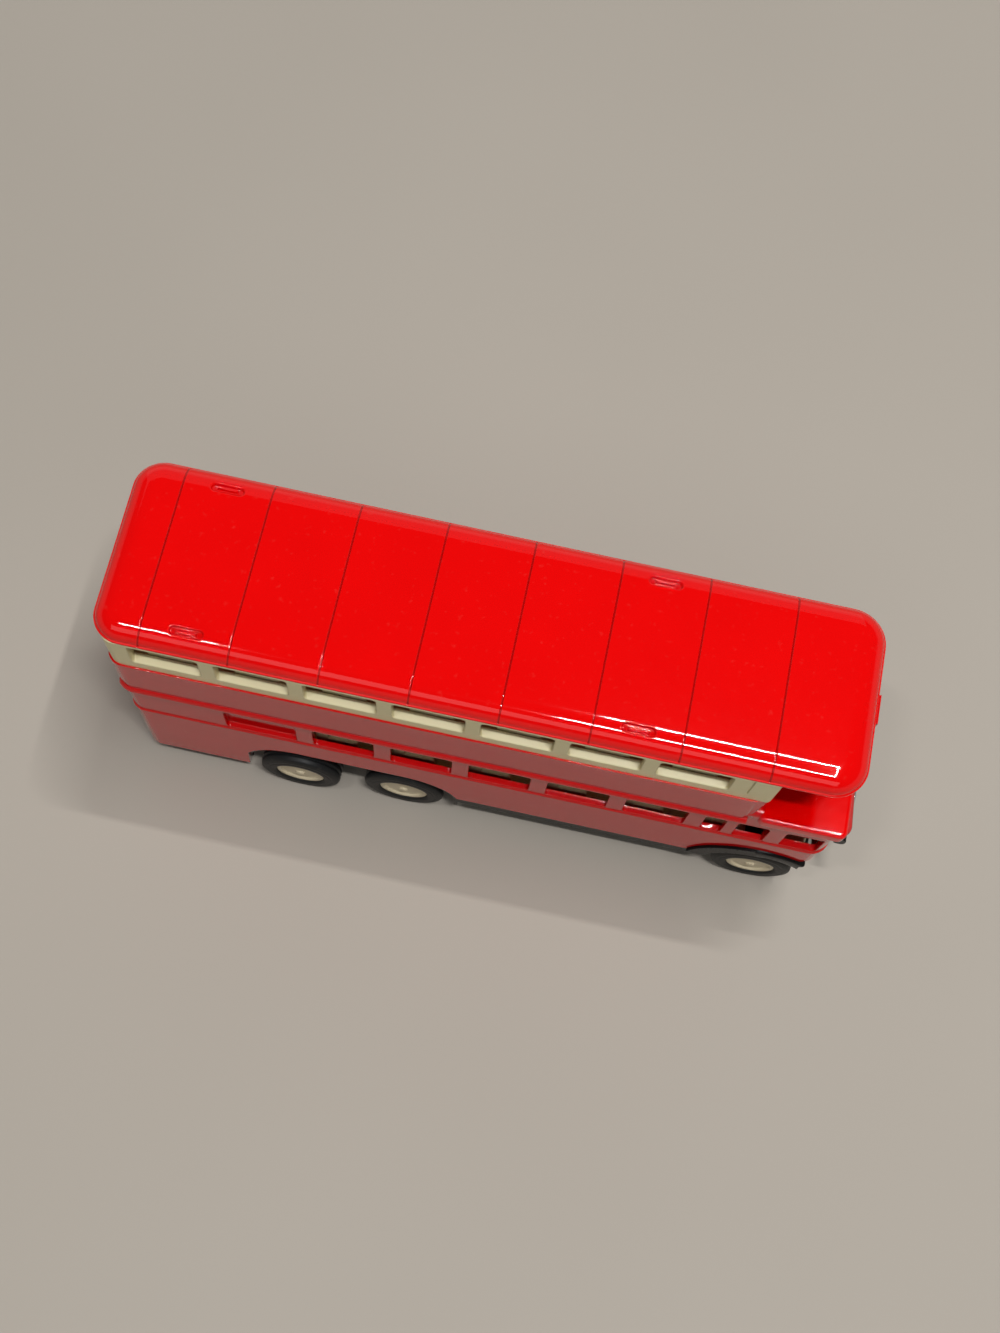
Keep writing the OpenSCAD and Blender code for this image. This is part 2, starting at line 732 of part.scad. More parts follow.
module upper_front() {
    x0 = band_front_x + seat_gap;
    window_x0 = x0 + bay_post_w;
    window_x1 = bay_front_x - bay_corner_r - bay_post_w / 2;
    color(body_red) difference() {
        union() {
            slab(x0 - bay_corner_r, bay_front_x, bay_half_w, bay_corner_r, bay_corner_r, canopy_z,
                gutter_z);
            translate([bay_front_x - bite, -box_half_w, gutter_z - box_h])
                cube([box_out + bite, 2 * box_half_w, box_h]);
        }
        slab(x0 - bay_corner_r, bay_front_x - bay_wall, bay_half_w - bay_wall, bay_corner_r - bay_wall,
            bay_corner_r - bay_wall, canopy_z - over, gutter_z + over);
        translate([x0 - bay_corner_r - over, -bay_half_w - over, canopy_z - over])
            cube([bay_corner_r + over, 2 * (bay_half_w + over), gutter_z]);
        both_sides() {
            across(bay_half_w - bay_wall - over, bay_half_w + over)
                round_rect(window_x0, bay_sill_z, window_x1, bay_head_z, window_r);
            along(bay_front_x - bay_wall - over, bay_front_x + over)
                round_rect(bay_post_w / 2, bay_sill_z, bay_half_w - bay_corner_r, bay_head_z, window_r);
        }
    }
}

// Seat on the +Y side of the aisle: a cushion with a round front edge, and a back
module seat(x, z, y1, cushion_h, back_h, floor_bite) {
    translate([x, seat_aisle, z - floor_bite]) cube([seat_back_t, y1 - seat_aisle, back_h + floor_bite]);
    translate([x, seat_aisle, z - floor_bite])
        cube([seat_l - seat_front_r, y1 - seat_aisle, cushion_h + floor_bite]);
    translate([x, seat_aisle, z - floor_bite]) cube([seat_l, y1 - seat_aisle,
        cushion_h - seat_front_r + floor_bite]);
    translate([x + seat_l - seat_front_r, seat_aisle, z + cushion_h - seat_front_r]) rotate([-90, 0, 0])
        cylinder(r = seat_front_r, h = y1 - seat_aisle);
}

module upper_seat_tray() {
    color(cream) difference() {
        union() {
            slab(rear_wall_x + wall + seat_gap, band_front_x - wall - seat_gap, tray_half_w,
                rear_corner_r - wall,
                rear_corner_r - wall, deck_z, deck_z + deck_t);
            for (i = [0 : bays - 1]) both_sides()
                seat(seam_x(i), deck_z + deck_t, upper_seat_half_w, seat_cushion_h, seat_back_h, bite);
        }
        for (x = bridge_xs) translate([x, 0, deck_z - over])
            cylinder(r = roof_post_r + seat_gap, h = deck_t + 2 * over);
    }
}

module lower_seat_tray() {
    floor_x0 = rear_wall_x + wall + seat_gap;
    floor_x1 = bulkhead_x - seat_gap;
    platform_x1 = door_x1 + wall;
    floor_z = tray_z + tray_t;
    color(cream) difference() {
        union() {
            difference() {
                slab(floor_x0, floor_x1, tray_half_w, rear_corner_r - wall, rear_corner_r - wall, tray_z,
                    floor_z);
                translate([floor_x0 - over, 0, tray_z - over])
                    cube([platform_x1 - floor_x0 + over - tray_t, half_w, tray_t + 2 * over]);
            }
            // Entrance platform, a step below the floor
            translate([floor_x0 + rear_corner_r, -tray_t, platform_z])
                cube([platform_x1 - floor_x0 - rear_corner_r, tray_half_w + tray_t, tray_t]);
            translate([platform_x1 - tray_t, -tray_t, platform_z])
                cube([tray_t, tray_half_w + tray_t, floor_z - platform_z]);
            translate([floor_x0 + rear_corner_r, -tray_t, platform_z])
                cube([platform_x1 - floor_x0 - rear_corner_r, tray_t, floor_z - platform_z]);
            for (i = [0 : row_windows]) both_sides()
                seat(row_x0 + lower_post_w + i * row_pitch, floor_z, tray_half_w - seat_edge_gap,
                    lower_seat_h,
                    lower_back_h, bite);
        }
        for (x = body_post_xs) translate([x, 0, platform_z - over])
            cylinder(r = body_post_r + seat_gap, h = floor_z - platform_z + 2 * over);
        both_sides() across(well_wall_y - seat_gap, half_w + over) arch([front_axle_x], front_arch_r);
    }
}

module cab_interior() {
    x0 = bulkhead_x + wall + seat_gap;
    x1 = cab_front_x - cab_wall - seat_gap;
    y0 = -half_w + wall + seat_gap;
    y1 = cab_side_y - cab_wall - seat_gap;
    floor_z = cab_floor_z + cab_floor_t;
    r = cab_corner_r - cab_wall;
    color(cream) {
        translate([0, 0, cab_floor_z]) linear_extrude(cab_floor_t) {
            translate([x0, y0]) square([x1 - r - x0, y1 - y0]);
            translate([x1 - r - bite, y0 + r]) square([r + bite, y1 - y0 - r]);
            translate([x1 - r, y0 + r]) circle(r);
        }
        translate([x0, cab_seat_y - cab_seat_w / 2, floor_z - bite])
            cube([cab_seat_l, cab_seat_w, cab_seat_h + bite]);
        across(cab_seat_y - cab_seat_w / 2, cab_seat_y + cab_seat_w / 2)
            round_rect(x0, floor_z - bite, x0 + cab_back_t, floor_z + cab_back_h,
                cab_back_t / 2 - push_gap);
        translate([x1 - dash_t, y0 + r, floor_z - bite]) cube([dash_t, y1 - y0 - r, dash_h + bite]);
    }
}

module steering_wheel() {
    floor_z = cab_floor_z + cab_floor_t;
    column_l = (steer_z - floor_z) / cos(steer_tilt) - seat_gap;
    color(base_black) translate([steer_x, cab_seat_y, steer_z]) rotate([0, -steer_tilt, 0]) {
        rotate_extrude() translate([steer_r, 0]) circle(steer_rim_r);
        for (i = [0 : spoke_count - 1]) rotate([0, 0, i * 360 / spoke_count]) rotate([0, 90, 0])
            cylinder(r = steer_rim_r * spoke_share, h = steer_r);
        translate([0, 0, -steer_hub_r / 2]) cylinder(r = steer_hub_r, h = steer_hub_r);
        translate([0, 0, -column_l]) cylinder(r = column_r, h = column_l);
    }
}

// Curved black wing over a front wheel, seen from the side, with the wheel's space still filled
module wing_outline() {
    r = wing_r;
    difference() {
        union() {
            translate([front_axle_x, tyre_r]) circle(r);
            translate([front_axle_x, wing_top_z - wing_t])
                square([wing_front_x - wing_tip_r - front_axle_x, wing_t]);
            translate([wing_front_x - wing_tip_r, wing_top_z - wing_tip_r]) circle(wing_tip_r);
            translate([wing_front_x - 2 * wing_tip_r, wing_top_z - wing_t])
                square([2 * wing_tip_r, wing_t - wing_tip_r]);
        }
        translate([front_axle_x - 2 * r, -2 * r]) square([2 * r, base_top_z + 2 * r]);
        translate([front_axle_x, -2 * r]) square([2 * r, wing_low_z + 2 * r]);
    }
}

// Outline of a wheel well above the base's underside
module well_outline(xs, r) {
    difference() {
        arch(xs, r);
        translate([rear_x, -2 * r]) square([overall_l, base_z + 2 * r]);
    }
}

module chassis_base() {
    rear_xs = [rear_axle_x, middle_axle_x];
    color(base_black) difference() {
        union() {
            difference() {
                union() {
                    slab(base_x0, base_x1, base_half_w, rear_corner_r, rear_corner_r, rim_z, base_top_z);
                    slab(base_x0 + rim_w, base_x1, base_half_w - rim_w, rear_corner_r, rear_corner_r,
                        base_z,
                        base_top_z);
                    slab(base_x0 + wall, base_x1, lip_half_w, rear_corner_r - wall, rear_corner_r - wall,
                        rim_z, lip_z);
                }
                slab(base_x0 + wall + lip_t, base_x1 - lip_t, lip_half_w - lip_t, rear_corner_r - wall,
                    rear_corner_r - wall, base_z + base_t, lip_z + over);
            }
            // Wheel wells and front wings, and the walls that carry the axles
            both_sides() {
                across(well_wall_y, base_half_w) well_outline(rear_xs, liner_r);
                across(well_wall_y, wing_half_w) wing_outline();
                across(well_wall_y, well_y) well_outline([front_axle_x], well_r + bite);
            }
            // Frame under the bonnet, with the bumper on two irons
            translate([base_x1 - over - lip_t, -frame_half_w, base_z])
                cube([bonnet_front_x - base_x1 + over + lip_t, 2 * frame_half_w, frame_z1 - base_z]);
            both_sides() translate([bonnet_front_x - over, spring_y - spring_w / 2, base_z + base_t / 2])
                cube([frame_front_x - bonnet_front_x + over + bite, spring_w,
                    frame_z1 - base_z - base_t / 2]);
            across(-bumper_half_w, bumper_half_w)
                round_rect(bumper_front_x - bumper_t, bumper_z0, bumper_front_x, bumper_z0 + bumper_h,
                    bumper_r);
            // Bar behind the bumper that carries the lamps
            translate([lamp_x - lamp_bar_t / 2, -spring_y - spring_w / 2, bumper_z0])
                cube([frame_front_x + bite - lamp_x + lamp_bar_t / 2,
                    lamp_ys[0] + lamp_bar_end + spring_y + spring_w / 2,
                    lamp_bar_h]);
            // Posts under the lower deck's floor, and bosses for the two screws
            for (x = tray_post_xs) both_sides() translate([x, tray_post_y, base_z])
                cylinder(r = tray_post_r, h = tray_z - base_z);
            for (x = body_post_xs) translate([x, 0, base_z]) cylinder(r = body_post_r, h = lip_z - base_z);
        }
        both_sides() across(well_y, half_w + over) {
            arch(rear_xs, well_r);
            arch([front_axle_x], well_r);
        }
        for (x = axle_xs) translate([x, 0, tyre_r]) rotate([90, 0, 0])
            cylinder(r = axle_r + running_gap, h = 2 * body_w, center = true);
        for (x = body_post_xs) translate([x, 0, base_z - over]) {
            cylinder(r = screw_hole_r, h = lip_z - base_z + 2 * over);
            cylinder(r = screw_head_r + seat_gap, h = screw_head_t + over);
        }
        for (y = lamp_ys) translate([lamp_x, y, base_z]) cylinder(r = lamp_stem_r + push_gap, h = lamp_z);
    }
}

// Radiator outline seen from the front, narrower by the inset
module radiator_outline(inset) {
    half = bonnet_w / 2 + radiator_side - inset;
    round_rect(bonnet_y - half, radiator_z0 + inset, bonnet_y + half, radiator_z - inset,
        radiator_r - inset);
}

module radiator_shell() {
    x0 = bonnet_front_x + seat_gap;
    color(bright) {
        difference() {
            along(x0, x0 + radiator_t) radiator_outline(0);
            along(x0 + radiator_t - core_depth, x0 + radiator_t + over) radiator_outline(radiator_frame);
        }
        translate([x0 + radiator_t / 2, bonnet_y, radiator_z - bite]) cylinder(r = cap_r, h = cap_h + bite);
    }
}

module radiator_core() {
    x0 = bonnet_front_x + seat_gap + radiator_t - core_depth;
    inset = radiator_frame + push_gap;
    slat_pitch = (bonnet_w + 2 * radiator_side - 2 * inset) / slat_count;
    color(base_black) intersection() {
        along(x0, x0 + core_depth) radiator_outline(inset);
        union() {
            along(x0, x0 + core_depth - slat_out) radiator_outline(inset);
            for (i = [0 : slat_count - 1])
                translate([x0, bonnet_y + (2 * i + 1 - slat_count)
                    * slat_pitch / 2 - slat_w / 2, radiator_z0])
                    cube([core_depth, slat_w, radiator_z - radiator_z0]);
        }
    }
}

// Round lamp on a stem that stands in the front frame
module headlamp(y) {
    color(bright) translate([lamp_x, y, lamp_z]) {
        rotate([0, 90, 0]) rotate_extrude() polygon(concat([[0, -lamp_l / 2]],
            [for (i = [0 : edge_steps]) let (a = 90 * i / edge_steps)
                [lamp_r * sin(a), -lamp_l / 2 + lamp_l * lamp_bowl_share * (1 - cos(a))]],
            [[lamp_r, lamp_l / 2 - lamp_lens_h]],
            [for (i = [0 : edge_steps]) let (a = 90 * i / edge_steps)
                [(lamp_r - lamp_lens_h / 2) * cos(a), lamp_l / 2 - lamp_lens_h + lamp_lens_h * sin(a)]]));
    }
    color(bright) translate([lamp_x, y, bumper_z0]) cylinder(r = lamp_stem_r, h = lamp_z - bumper_z0);
}

module headlamp_left() {
    headlamp(lamp_ys[0]);
}

module headlamp_right() {
    headlamp(lamp_ys[1]);
}

// How far a wheel of each axle stands outside the plain track
function wheel_out(i) = i == 0 ? rear_wheel_out : 0;
function wheel_face(i) = half_w + wheel_out(i);

module axle(i) {
    axle_l = 2 * (wheel_face(i) - hub_dish - tyre_lip);
    color(bright) translate([axle_xs[i], 0, tyre_r]) rotate([90, 0, 0])
        cylinder(r = axle_r, h = axle_l, center = true);
}

// Turned outline (radius, distance outwards) set on the wheel's own axis
module on_wheel(i, side) {
    translate([axle_xs[i], 0, tyre_r]) rotate([-90 * side, 0, 0]) rotate_extrude() children();
}

module hub(i, side) {
    face = wheel_face(i);
    inner = well_y + hub_play;
    bore = axle_r + push_gap;
    rim_face = face - tyre_lip;
    color(cream) {
        on_wheel(i, side) polygon([[bore, inner], [hub_boss_r, inner], [hub_boss_r,
            face - tyre_w + tyre_lip],
            [rim_r, face - tyre_w + tyre_lip], [rim_r, rim_face], [rim_r - hub_ring_w, rim_face],
            [rim_r - hub_ring_w - hub_dish / 2, rim_face - hub_dish], [hub_nub_r + hub_dish,
                rim_face - hub_dish],
            [hub_nub_r, rim_face - hub_dish + hub_nub_h], [0, rim_face - hub_dish + hub_nub_h],
            [0, face - hub_dish + push_gap - tyre_lip], [bore, face - hub_dish + push_gap - tyre_lip]]);
    }
}

module tyre(i, side) {
    face = wheel_face(i);
    r = tyre_shoulder_r;
    inner_r = rim_r + push_gap;
    groove_pitch = tyre_w * tyre_groove_share;
    color(rubber) on_wheel(i, side) difference() {
        union() {
            translate([inner_r, face - tyre_w]) square([tyre_r - r - inner_r, tyre_w]);
            translate([inner_r, face - tyre_w + r]) square([tyre_r - inner_r, tyre_w - 2 * r]);
            for (y = [face - tyre_w + r, face - r]) translate([tyre_r - r, y]) circle(r);
        }
        for (side = [-1, 1]) translate([tyre_r - tyre_groove_depth,
            face - tyre_w / 2 + side * groove_pitch / 2 - tyre_groove_w / 2]) square([over, tyre_groove_w]);
    }
}

module rear_axle() { axle(0); }
module middle_axle() { axle(1); }
module front_axle() { axle(2); }
module rear_left_hub() { hub(0, 1); }
module rear_right_hub() { hub(0, -1); }
module middle_left_hub() { hub(1, 1); }
module middle_right_hub() { hub(1, -1); }
module front_left_hub() { hub(2, 1); }
module front_right_hub() { hub(2, -1); }
module rear_left_tyre() { tyre(0, 1); }
module rear_right_tyre() { tyre(0, -1); }
module middle_left_tyre() { tyre(1, 1); }
module middle_right_tyre() { tyre(1, -1); }
module front_left_tyre() { tyre(2, 1); }
module front_right_tyre() { tyre(2, -1); }

// Pan-head screw, its head at z and its shank going up
module screw(x, z, shank_l) {
    translate([x, 0, z]) {
        cylinder(r = screw_head_r, h = screw_head_t);
        cylinder(r = screw_shank_r, h = screw_head_t + shank_l);
    }
}

module base_screws() {
    color(bright) for (x = body_post_xs)
        screw(x, base_z, lip_z + screw_grip - base_z - screw_head_t);
}

module roof_screws() {
    color(bright) for (x = bridge_xs)
        screw(x, deck_z - deck_ledge_t - screw_head_t, deck_ledge_t + screw_grip - over);
}

lower_body();
roof();
upper_window_band();
upper_front();
upper_seat_tray();
lower_seat_tray();
cab_interior();
steering_wheel();
chassis_base();
radiator_shell();
radiator_core();
headlamp_left();
headlamp_right();
rear_axle();
middle_axle();
front_axle();
rear_left_hub();
rear_right_hub();
middle_left_hub();
middle_right_hub();
front_left_hub();
front_right_hub();
rear_left_tyre();
rear_right_tyre();
middle_left_tyre();
middle_right_tyre();
front_left_tyre();
front_right_tyre();
base_screws();
roof_screws();
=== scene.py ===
import math

import bmesh
import bpy
import numpy as np
from bpy.props import FloatProperty, FloatVectorProperty, IntProperty, PointerProperty
from bpy.types import Operator, Panel, PropertyGroup
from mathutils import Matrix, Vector


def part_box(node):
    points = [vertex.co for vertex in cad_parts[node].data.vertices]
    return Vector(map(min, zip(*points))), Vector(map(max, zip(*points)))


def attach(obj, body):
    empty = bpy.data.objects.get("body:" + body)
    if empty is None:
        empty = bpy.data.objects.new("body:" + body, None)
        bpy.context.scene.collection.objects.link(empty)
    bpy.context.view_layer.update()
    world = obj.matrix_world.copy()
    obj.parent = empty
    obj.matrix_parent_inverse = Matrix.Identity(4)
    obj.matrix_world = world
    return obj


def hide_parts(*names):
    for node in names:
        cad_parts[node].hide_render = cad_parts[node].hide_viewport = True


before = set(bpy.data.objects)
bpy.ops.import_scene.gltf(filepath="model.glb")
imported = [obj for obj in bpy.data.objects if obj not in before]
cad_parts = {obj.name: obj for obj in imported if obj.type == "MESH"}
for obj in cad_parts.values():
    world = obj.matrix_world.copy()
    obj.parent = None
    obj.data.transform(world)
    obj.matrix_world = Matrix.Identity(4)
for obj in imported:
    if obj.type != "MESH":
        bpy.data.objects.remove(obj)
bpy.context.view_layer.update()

bl_info = {
    "name": "Toy bus",
    "version": (1, 0, 0),
    "blender": (4, 5, 0),
    "location": "View3D > Sidebar > Toy bus",
    "description": "Dresses the packed double-deck toy bus and sets its stage",
    "category": "Object",
}

MM = 0.001
WELD = 0.002 * MM  # points closer than this are one
ROOF_LOW, ROOF_HIGH = (np.array(c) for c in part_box("roof"))
GUTTER_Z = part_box("upper_window_band")[1][2]
AXLES = ("rear", "middle", "front")
SIDES = (("left", 1), ("right", -1))
SHELL = "shell"

# Places that more than one piece of the shell needs, in millimetres
FRONT_AXLE_X, FRONT_AXLE_Z = 47.1, 7.05
CAB_WALL_X = 39.9  # what lies ahead of this over the cab roof is the wall with the front bay
CAB_WALL_FORWARD = 0.7


def srgb(code):
    """Linear RGBA of an sRGB hex colour."""
    part = np.array([int(code[i:i + 2], 16) / 255 for i in (1, 3, 5)])
    return (*np.where(part <= 0.04045, part / 12.92, ((part + 0.055) / 1.055) ** 2.4).tolist(), 1.0)


class BusSizes(PropertyGroup):
    """Sizes of the dressed pieces that a user would change."""
    edge_width: FloatProperty(name="Roof edge width", description="Width of the roof's rounded edge",
                              default=4.3 * MM, unit="LENGTH")
    edge_power: FloatProperty(name="Roof edge fullness",
                              description="Power of the superellipse of the roof's edge", default=2.3)
    seam_pitch: FloatProperty(name="Seam pitch", description="Distance between two roof seams",
                              default=13.5 * MM, unit="LENGTH")
    seam_depth: FloatProperty(name="Seam depth", description="Depth of the roof seams",
                              default=0.09 * MM, unit="LENGTH")
    vent_length: FloatProperty(name="Ventilator length", description="Length of a roof ventilator",
                               default=5.1 * MM, unit="LENGTH")
    vent_width: FloatProperty(name="Ventilator width", description="Width of a roof ventilator",
                              default=1.4 * MM, unit="LENGTH")
    lathe_steps: IntProperty(name="Wheel steps", description="Steps round a tyre or a hub", default=96)


class BusColours(PropertyGroup):
    """Colours of the finishes."""
    red: FloatVectorProperty(name="Red enamel", description="Gloss paint of the roofs", subtype="COLOR",
                             size=4, default=srgb("#e40202"))
    cream: FloatVectorProperty(name="Cream plastic", description="Window band and seats", subtype="COLOR",
                               size=4, default=srgb("#e9dfb2"))
    hub: FloatVectorProperty(name="Beige plastic", description="Wheel discs", subtype="COLOR", size=4,
                             default=srgb("#dccfb2"))
    black: FloatVectorProperty(name="Black", description="Base, wings and wells", subtype="COLOR", size=4,
                               default=srgb("#0a0a0b"))
    rubber: FloatVectorProperty(name="Rubber", description="Tyres", subtype="COLOR", size=4,
                                default=srgb("#1a1b1c"))
    floor: FloatVectorProperty(name="Floor", description="Plain pale floor", subtype="COLOR", size=4,
                               default=srgb("#a9a196"))


# Materials

def add(tree, kind, settings=None, **links):
    """Adds a node, sets its attributes, and links or sets its inputs, by their names or by i and a number."""
    made = tree.nodes.new(kind)
    for key, value in (settings or {}).items():
        setattr(made, key, value)
    for key, value in links.items():
        numbered = key[0] == "i" and key[1:].isdigit()
        socket = made.inputs[int(key[1:]) if numbered else key.replace("_", " ")]
        if isinstance(value, bpy.types.NodeSocket):
            tree.links.new(value, socket)
        else:
            socket.default_value = value
    return made


def new_material(name):
    """A material with only its output and its shader, and the Object coordinates."""
    mat = bpy.data.materials.new(name)
    mat.use_nodes = True
    tree = mat.node_tree
    tree.nodes.clear()
    shader = add(tree, "ShaderNodeBsdfPrincipled")
    add(tree, "ShaderNodeOutputMaterial", Surface=shader.outputs["BSDF"])
    place = add(tree, "ShaderNodeTexCoord").outputs["Object"]
    return mat, tree, shader, place


def moulded_finish(name, colour, shade, rough, grain_mm, grain_depth_mm, edge_mm, dust,
                   dust_colour="#b9ae9a", edge_tone=None, seam_dirt_and_shade_tone=None, soften=True, coat=0.0,
                   metallic=0.0, specular=0.5):
    """Moulded or painted surface: broad tone from one noise, fine grain in the bump and the roughness from
    another, a little dust in specks and, where asked for, soft edges, another tone along them and a dark tone
    in seams that is part dirt and part painted shade."""
    tone_mm, speck_mm = 9, 1.1
    mat, tree, shader, place = new_material(name)
    broad = add(tree, "ShaderNodeTexNoise", Vector=place, Scale=1 / (tone_mm * MM), Detail=3.0)
    fine = add(tree, "ShaderNodeTexNoise", Vector=place, Scale=1 / (grain_mm * MM), Detail=4.0)
    tone = add(tree, "ShaderNodeMix", {"data_type": "RGBA"}, i0=broad.outputs["Fac"], i6=colour, i7=shade)
    soft = add(tree, "ShaderNodeBevel", {"samples": 6}, Radius=edge_mm * MM)
    last = tone.outputs[2]
    if edge_tone is not None:
        geometry = add(tree, "ShaderNodeNewGeometry")
        dot = add(tree, "ShaderNodeVectorMath", {"operation": "DOT_PRODUCT"}, i0=soft.outputs[0],
                  i1=geometry.outputs["Normal"])
        edge = add(tree, "ShaderNodeMapRange", Value=dot.outputs["Value"], From_Min=0.985, From_Max=0.86,
                   To_Max=0.55)
        worn = add(tree, "ShaderNodeMath", {"operation": "MULTIPLY"}, i0=edge.outputs[0],
                   i1=fine.outputs["Fac"])
        last = add(tree, "ShaderNodeMix", {"data_type": "RGBA"}, i0=worn.outputs[0], i6=last,
                   i7=edge_tone).outputs[2]
    specks = add(tree, "ShaderNodeTexNoise", Vector=place, Scale=1 / (speck_mm * MM), Detail=5.0)
    fall = add(tree, "ShaderNodeMapRange", Value=specks.outputs["Fac"], From_Min=0.62, From_Max=0.8,
               To_Max=dust)
    last = add(tree, "ShaderNodeMix", {"data_type": "RGBA"}, i0=fall.outputs[0], i6=last,
               i7=srgb(dust_colour)).outputs[2]
    # The mesh's seam attribute darkens the colour: dirt and painted shade in the roof's seams, painted shade
    # in its ventilator wells
    if seam_dirt_and_shade_tone is not None:
        seam = add(tree, "ShaderNodeAttribute", {"attribute_name": "seam_dirt_and_shade"})
        last = add(tree, "ShaderNodeMix", {"data_type": "RGBA"}, i0=seam.outputs["Fac"], i6=last,
                   i7=seam_dirt_and_shade_tone).outputs[2]
    tree.links.new(last, shader.inputs["Base Color"])
    gloss = add(tree, "ShaderNodeMapRange", Value=fine.outputs["Fac"], To_Min=rough * 0.8,
                To_Max=rough * 1.25)
    tree.links.new(gloss.outputs[0], shader.inputs["Roughness"])
    bump = add(tree, "ShaderNodeBump", Strength=0.5, Distance=grain_depth_mm * MM,
               Height=fine.outputs["Fac"])
    if soften:
        tree.links.new(soft.outputs[0], bump.inputs["Normal"])
    tree.links.new(bump.outputs[0], shader.inputs["Normal"])
    shader.inputs["Metallic"].default_value = metallic
    shader.inputs["Specular IOR Level"].default_value = specular
    if coat:
        shader.inputs["Coat Weight"].default_value = coat
        shader.inputs["Coat Roughness"].default_value = 0.04
        tree.links.new(soft.outputs[0], shader.inputs["Coat Normal"])
    return mat


def seen_directly(tree):
    """One for what the camera sees itself, in a mirror or through glass, nought for the light on things."""
    path = add(tree, "ShaderNodeLightPath")
    mirror = add(tree, "ShaderNodeMath", {"operation": "MAXIMUM"}, i0=path.outputs["Is Camera Ray"],
                 i1=path.outputs["Is Glossy Ray"])
    return add(tree, "ShaderNodeMath", {"operation": "MAXIMUM"}, i0=mirror.outputs[0],
               i1=path.outputs["Is Transmission Ray"]).outputs[0]


def dress(names, mat):
    """Gives CAD nodes that stay a material."""
    for name in names:
        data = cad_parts[name].data
        data.materials.clear()
        data.materials.append(mat)


# Meshes

def grid_faces(rows, cols):
    """Quads of a grid of rows by cols points, numbered row by row, whose last column joins the first."""
    i, j = np.meshgrid(np.arange(rows - 1), np.arange(cols), indexing="ij")
    k = (j + 1) % cols
    return np.stack([i * cols + j, i * cols + k, (i + 1) * cols + k, (i + 1) * cols + j], -1).reshape(-1, 4)


def stand(name, data, mat, body):
    """Object at the origin for a finished mesh, smooth and in its material, that rides on a body."""
    data.polygons.foreach_set("use_smooth", [True] * len(data.polygons))
    data.materials.append(mat)
    obj = bpy.data.objects.new(name, data)
    bpy.context.scene.collection.objects.link(obj)
    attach(obj, body)
    return obj


def new_piece(name, points, faces, mat, body, dirt_and_shade_marks=None):
    """Piece from points and faces, with doubled points merged and faces turned outwards;
    marks, one number a point, say where the colour is darkened: dirt and painted shade in a seam, painted
    shade in a ventilator's well."""
    data = bpy.data.meshes.new(name)
    data.from_pydata(np.asarray(points, float).reshape(-1, 3).tolist(), [], np.asarray(faces).tolist())
    if dirt_and_shade_marks is not None:
        seam = data.attributes.new("seam_dirt_and_shade", "FLOAT", "POINT")
        seam.data.foreach_set("value", np.asarray(dirt_and_shade_marks, float).ravel())
    bm = bmesh.new()
    bm.from_mesh(data)
    bmesh.ops.remove_doubles(bm, verts=bm.verts, dist=WELD)
    bmesh.ops.recalc_face_normals(bm, faces=bm.faces)
    bm.to_mesh(data)
    bm.free()
    return stand(name, data, mat, body)


def fitted_copy(node, name, mat, move):
    """Piece that replaces a CAD node: its mesh merged, its points moved by a function of whole arrays in
    millimetres, faces that closed up taken out, and edges over 30 degrees kept sharp."""
    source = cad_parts[node].data
    points = np.empty(3 * len(source.vertices))
    source.vertices.foreach_get("co", points)
    corners = np.empty(len(source.loops), int)
    source.loops.foreach_get("vertex_index", corners)
    data = bpy.data.meshes.new(name)
    data.from_pydata(points.reshape(-1, 3).tolist(), [], corners.reshape(-1, 3).tolist())
    bm = bmesh.new()
    bm.from_mesh(data)
    bmesh.ops.remove_doubles(bm, verts=bm.verts, dist=WELD)
    bm.to_mesh(data)
    points = np.empty(3 * len(data.vertices))
    data.vertices.foreach_get("co", points)
    moved = np.stack(move(*(points.reshape(-1, 3).T / MM)), -1) * MM
    data.vertices.foreach_set("co", moved.ravel())
    bm.clear()
    bm.from_mesh(data)
    bmesh.ops.dissolve_degenerate(bm, edges=bm.edges, dist=WELD)
    bmesh.ops.triangulate(bm, faces=bm.faces)
    bm.to_mesh(data)
    bm.free()
    obj = stand(name, data, mat, SHELL)
    data.set_sharp_from_angle(angle=math.radians(30))
    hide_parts(node)
    return obj


def lathe(profile, centre, steps):
    """Turned surface about an axle: a point (r, y) goes to (x0 + r cos t, y, z0 + r sin t)."""
    radius, out = np.array(profile).T
    t = np.linspace(0, 2 * np.pi, steps, endpoint=False)
    points = np.stack([centre[0] + np.outer(radius, np.cos(t)), np.outer(out, np.ones(steps)),
                       centre[2] + np.outer(radius, np.sin(t))], -1)
    return points.reshape(-1, 3), grid_faces(len(radius), steps)


def round_path(section, steps=6):
    """Polyline through a section's points (radius, y, corner radius): each inner corner b becomes the curve
    (1 - s)^2 p + 2 s (1 - s) b + s^2 q, where p and q lie where an arc of that radius would touch its sides
    or, where a side is too short for that, at 0.48 of its length."""
    section = np.array(section, float)
    corners = section[:, :2]
    path = [corners[0]]
    for a, b, c, r in zip(corners[:-2], corners[1:-1], corners[2:], section[1:-1, 2]):
        before, after = np.linalg.norm(a - b), np.linalg.norm(c - b)
        u, v = (a - b) / before, (c - b) / after
        half = math.acos(np.clip(u @ v, -1, 1)) / 2
        reach = min(r / math.tan(half), 0.48 * before, 0.48 * after)
        s = np.linspace(0, 1, steps)[:, None]
        path.extend((1 - s) ** 2 * (b + u * reach) + 2 * s * (1 - s) * b + s ** 2 * (b + v * reach))
    path.append(corners[-1])
    return np.array(path)


def soft_step(value, low, high):
    """Smooth step from 0 at low to 1 at high: 3 t^2 - 2 t^3, where t runs from 0 to 1 between them."""
    t = np.clip((value - low) / (high - low), 0, 1)
    return t * t * (3 - 2 * t)


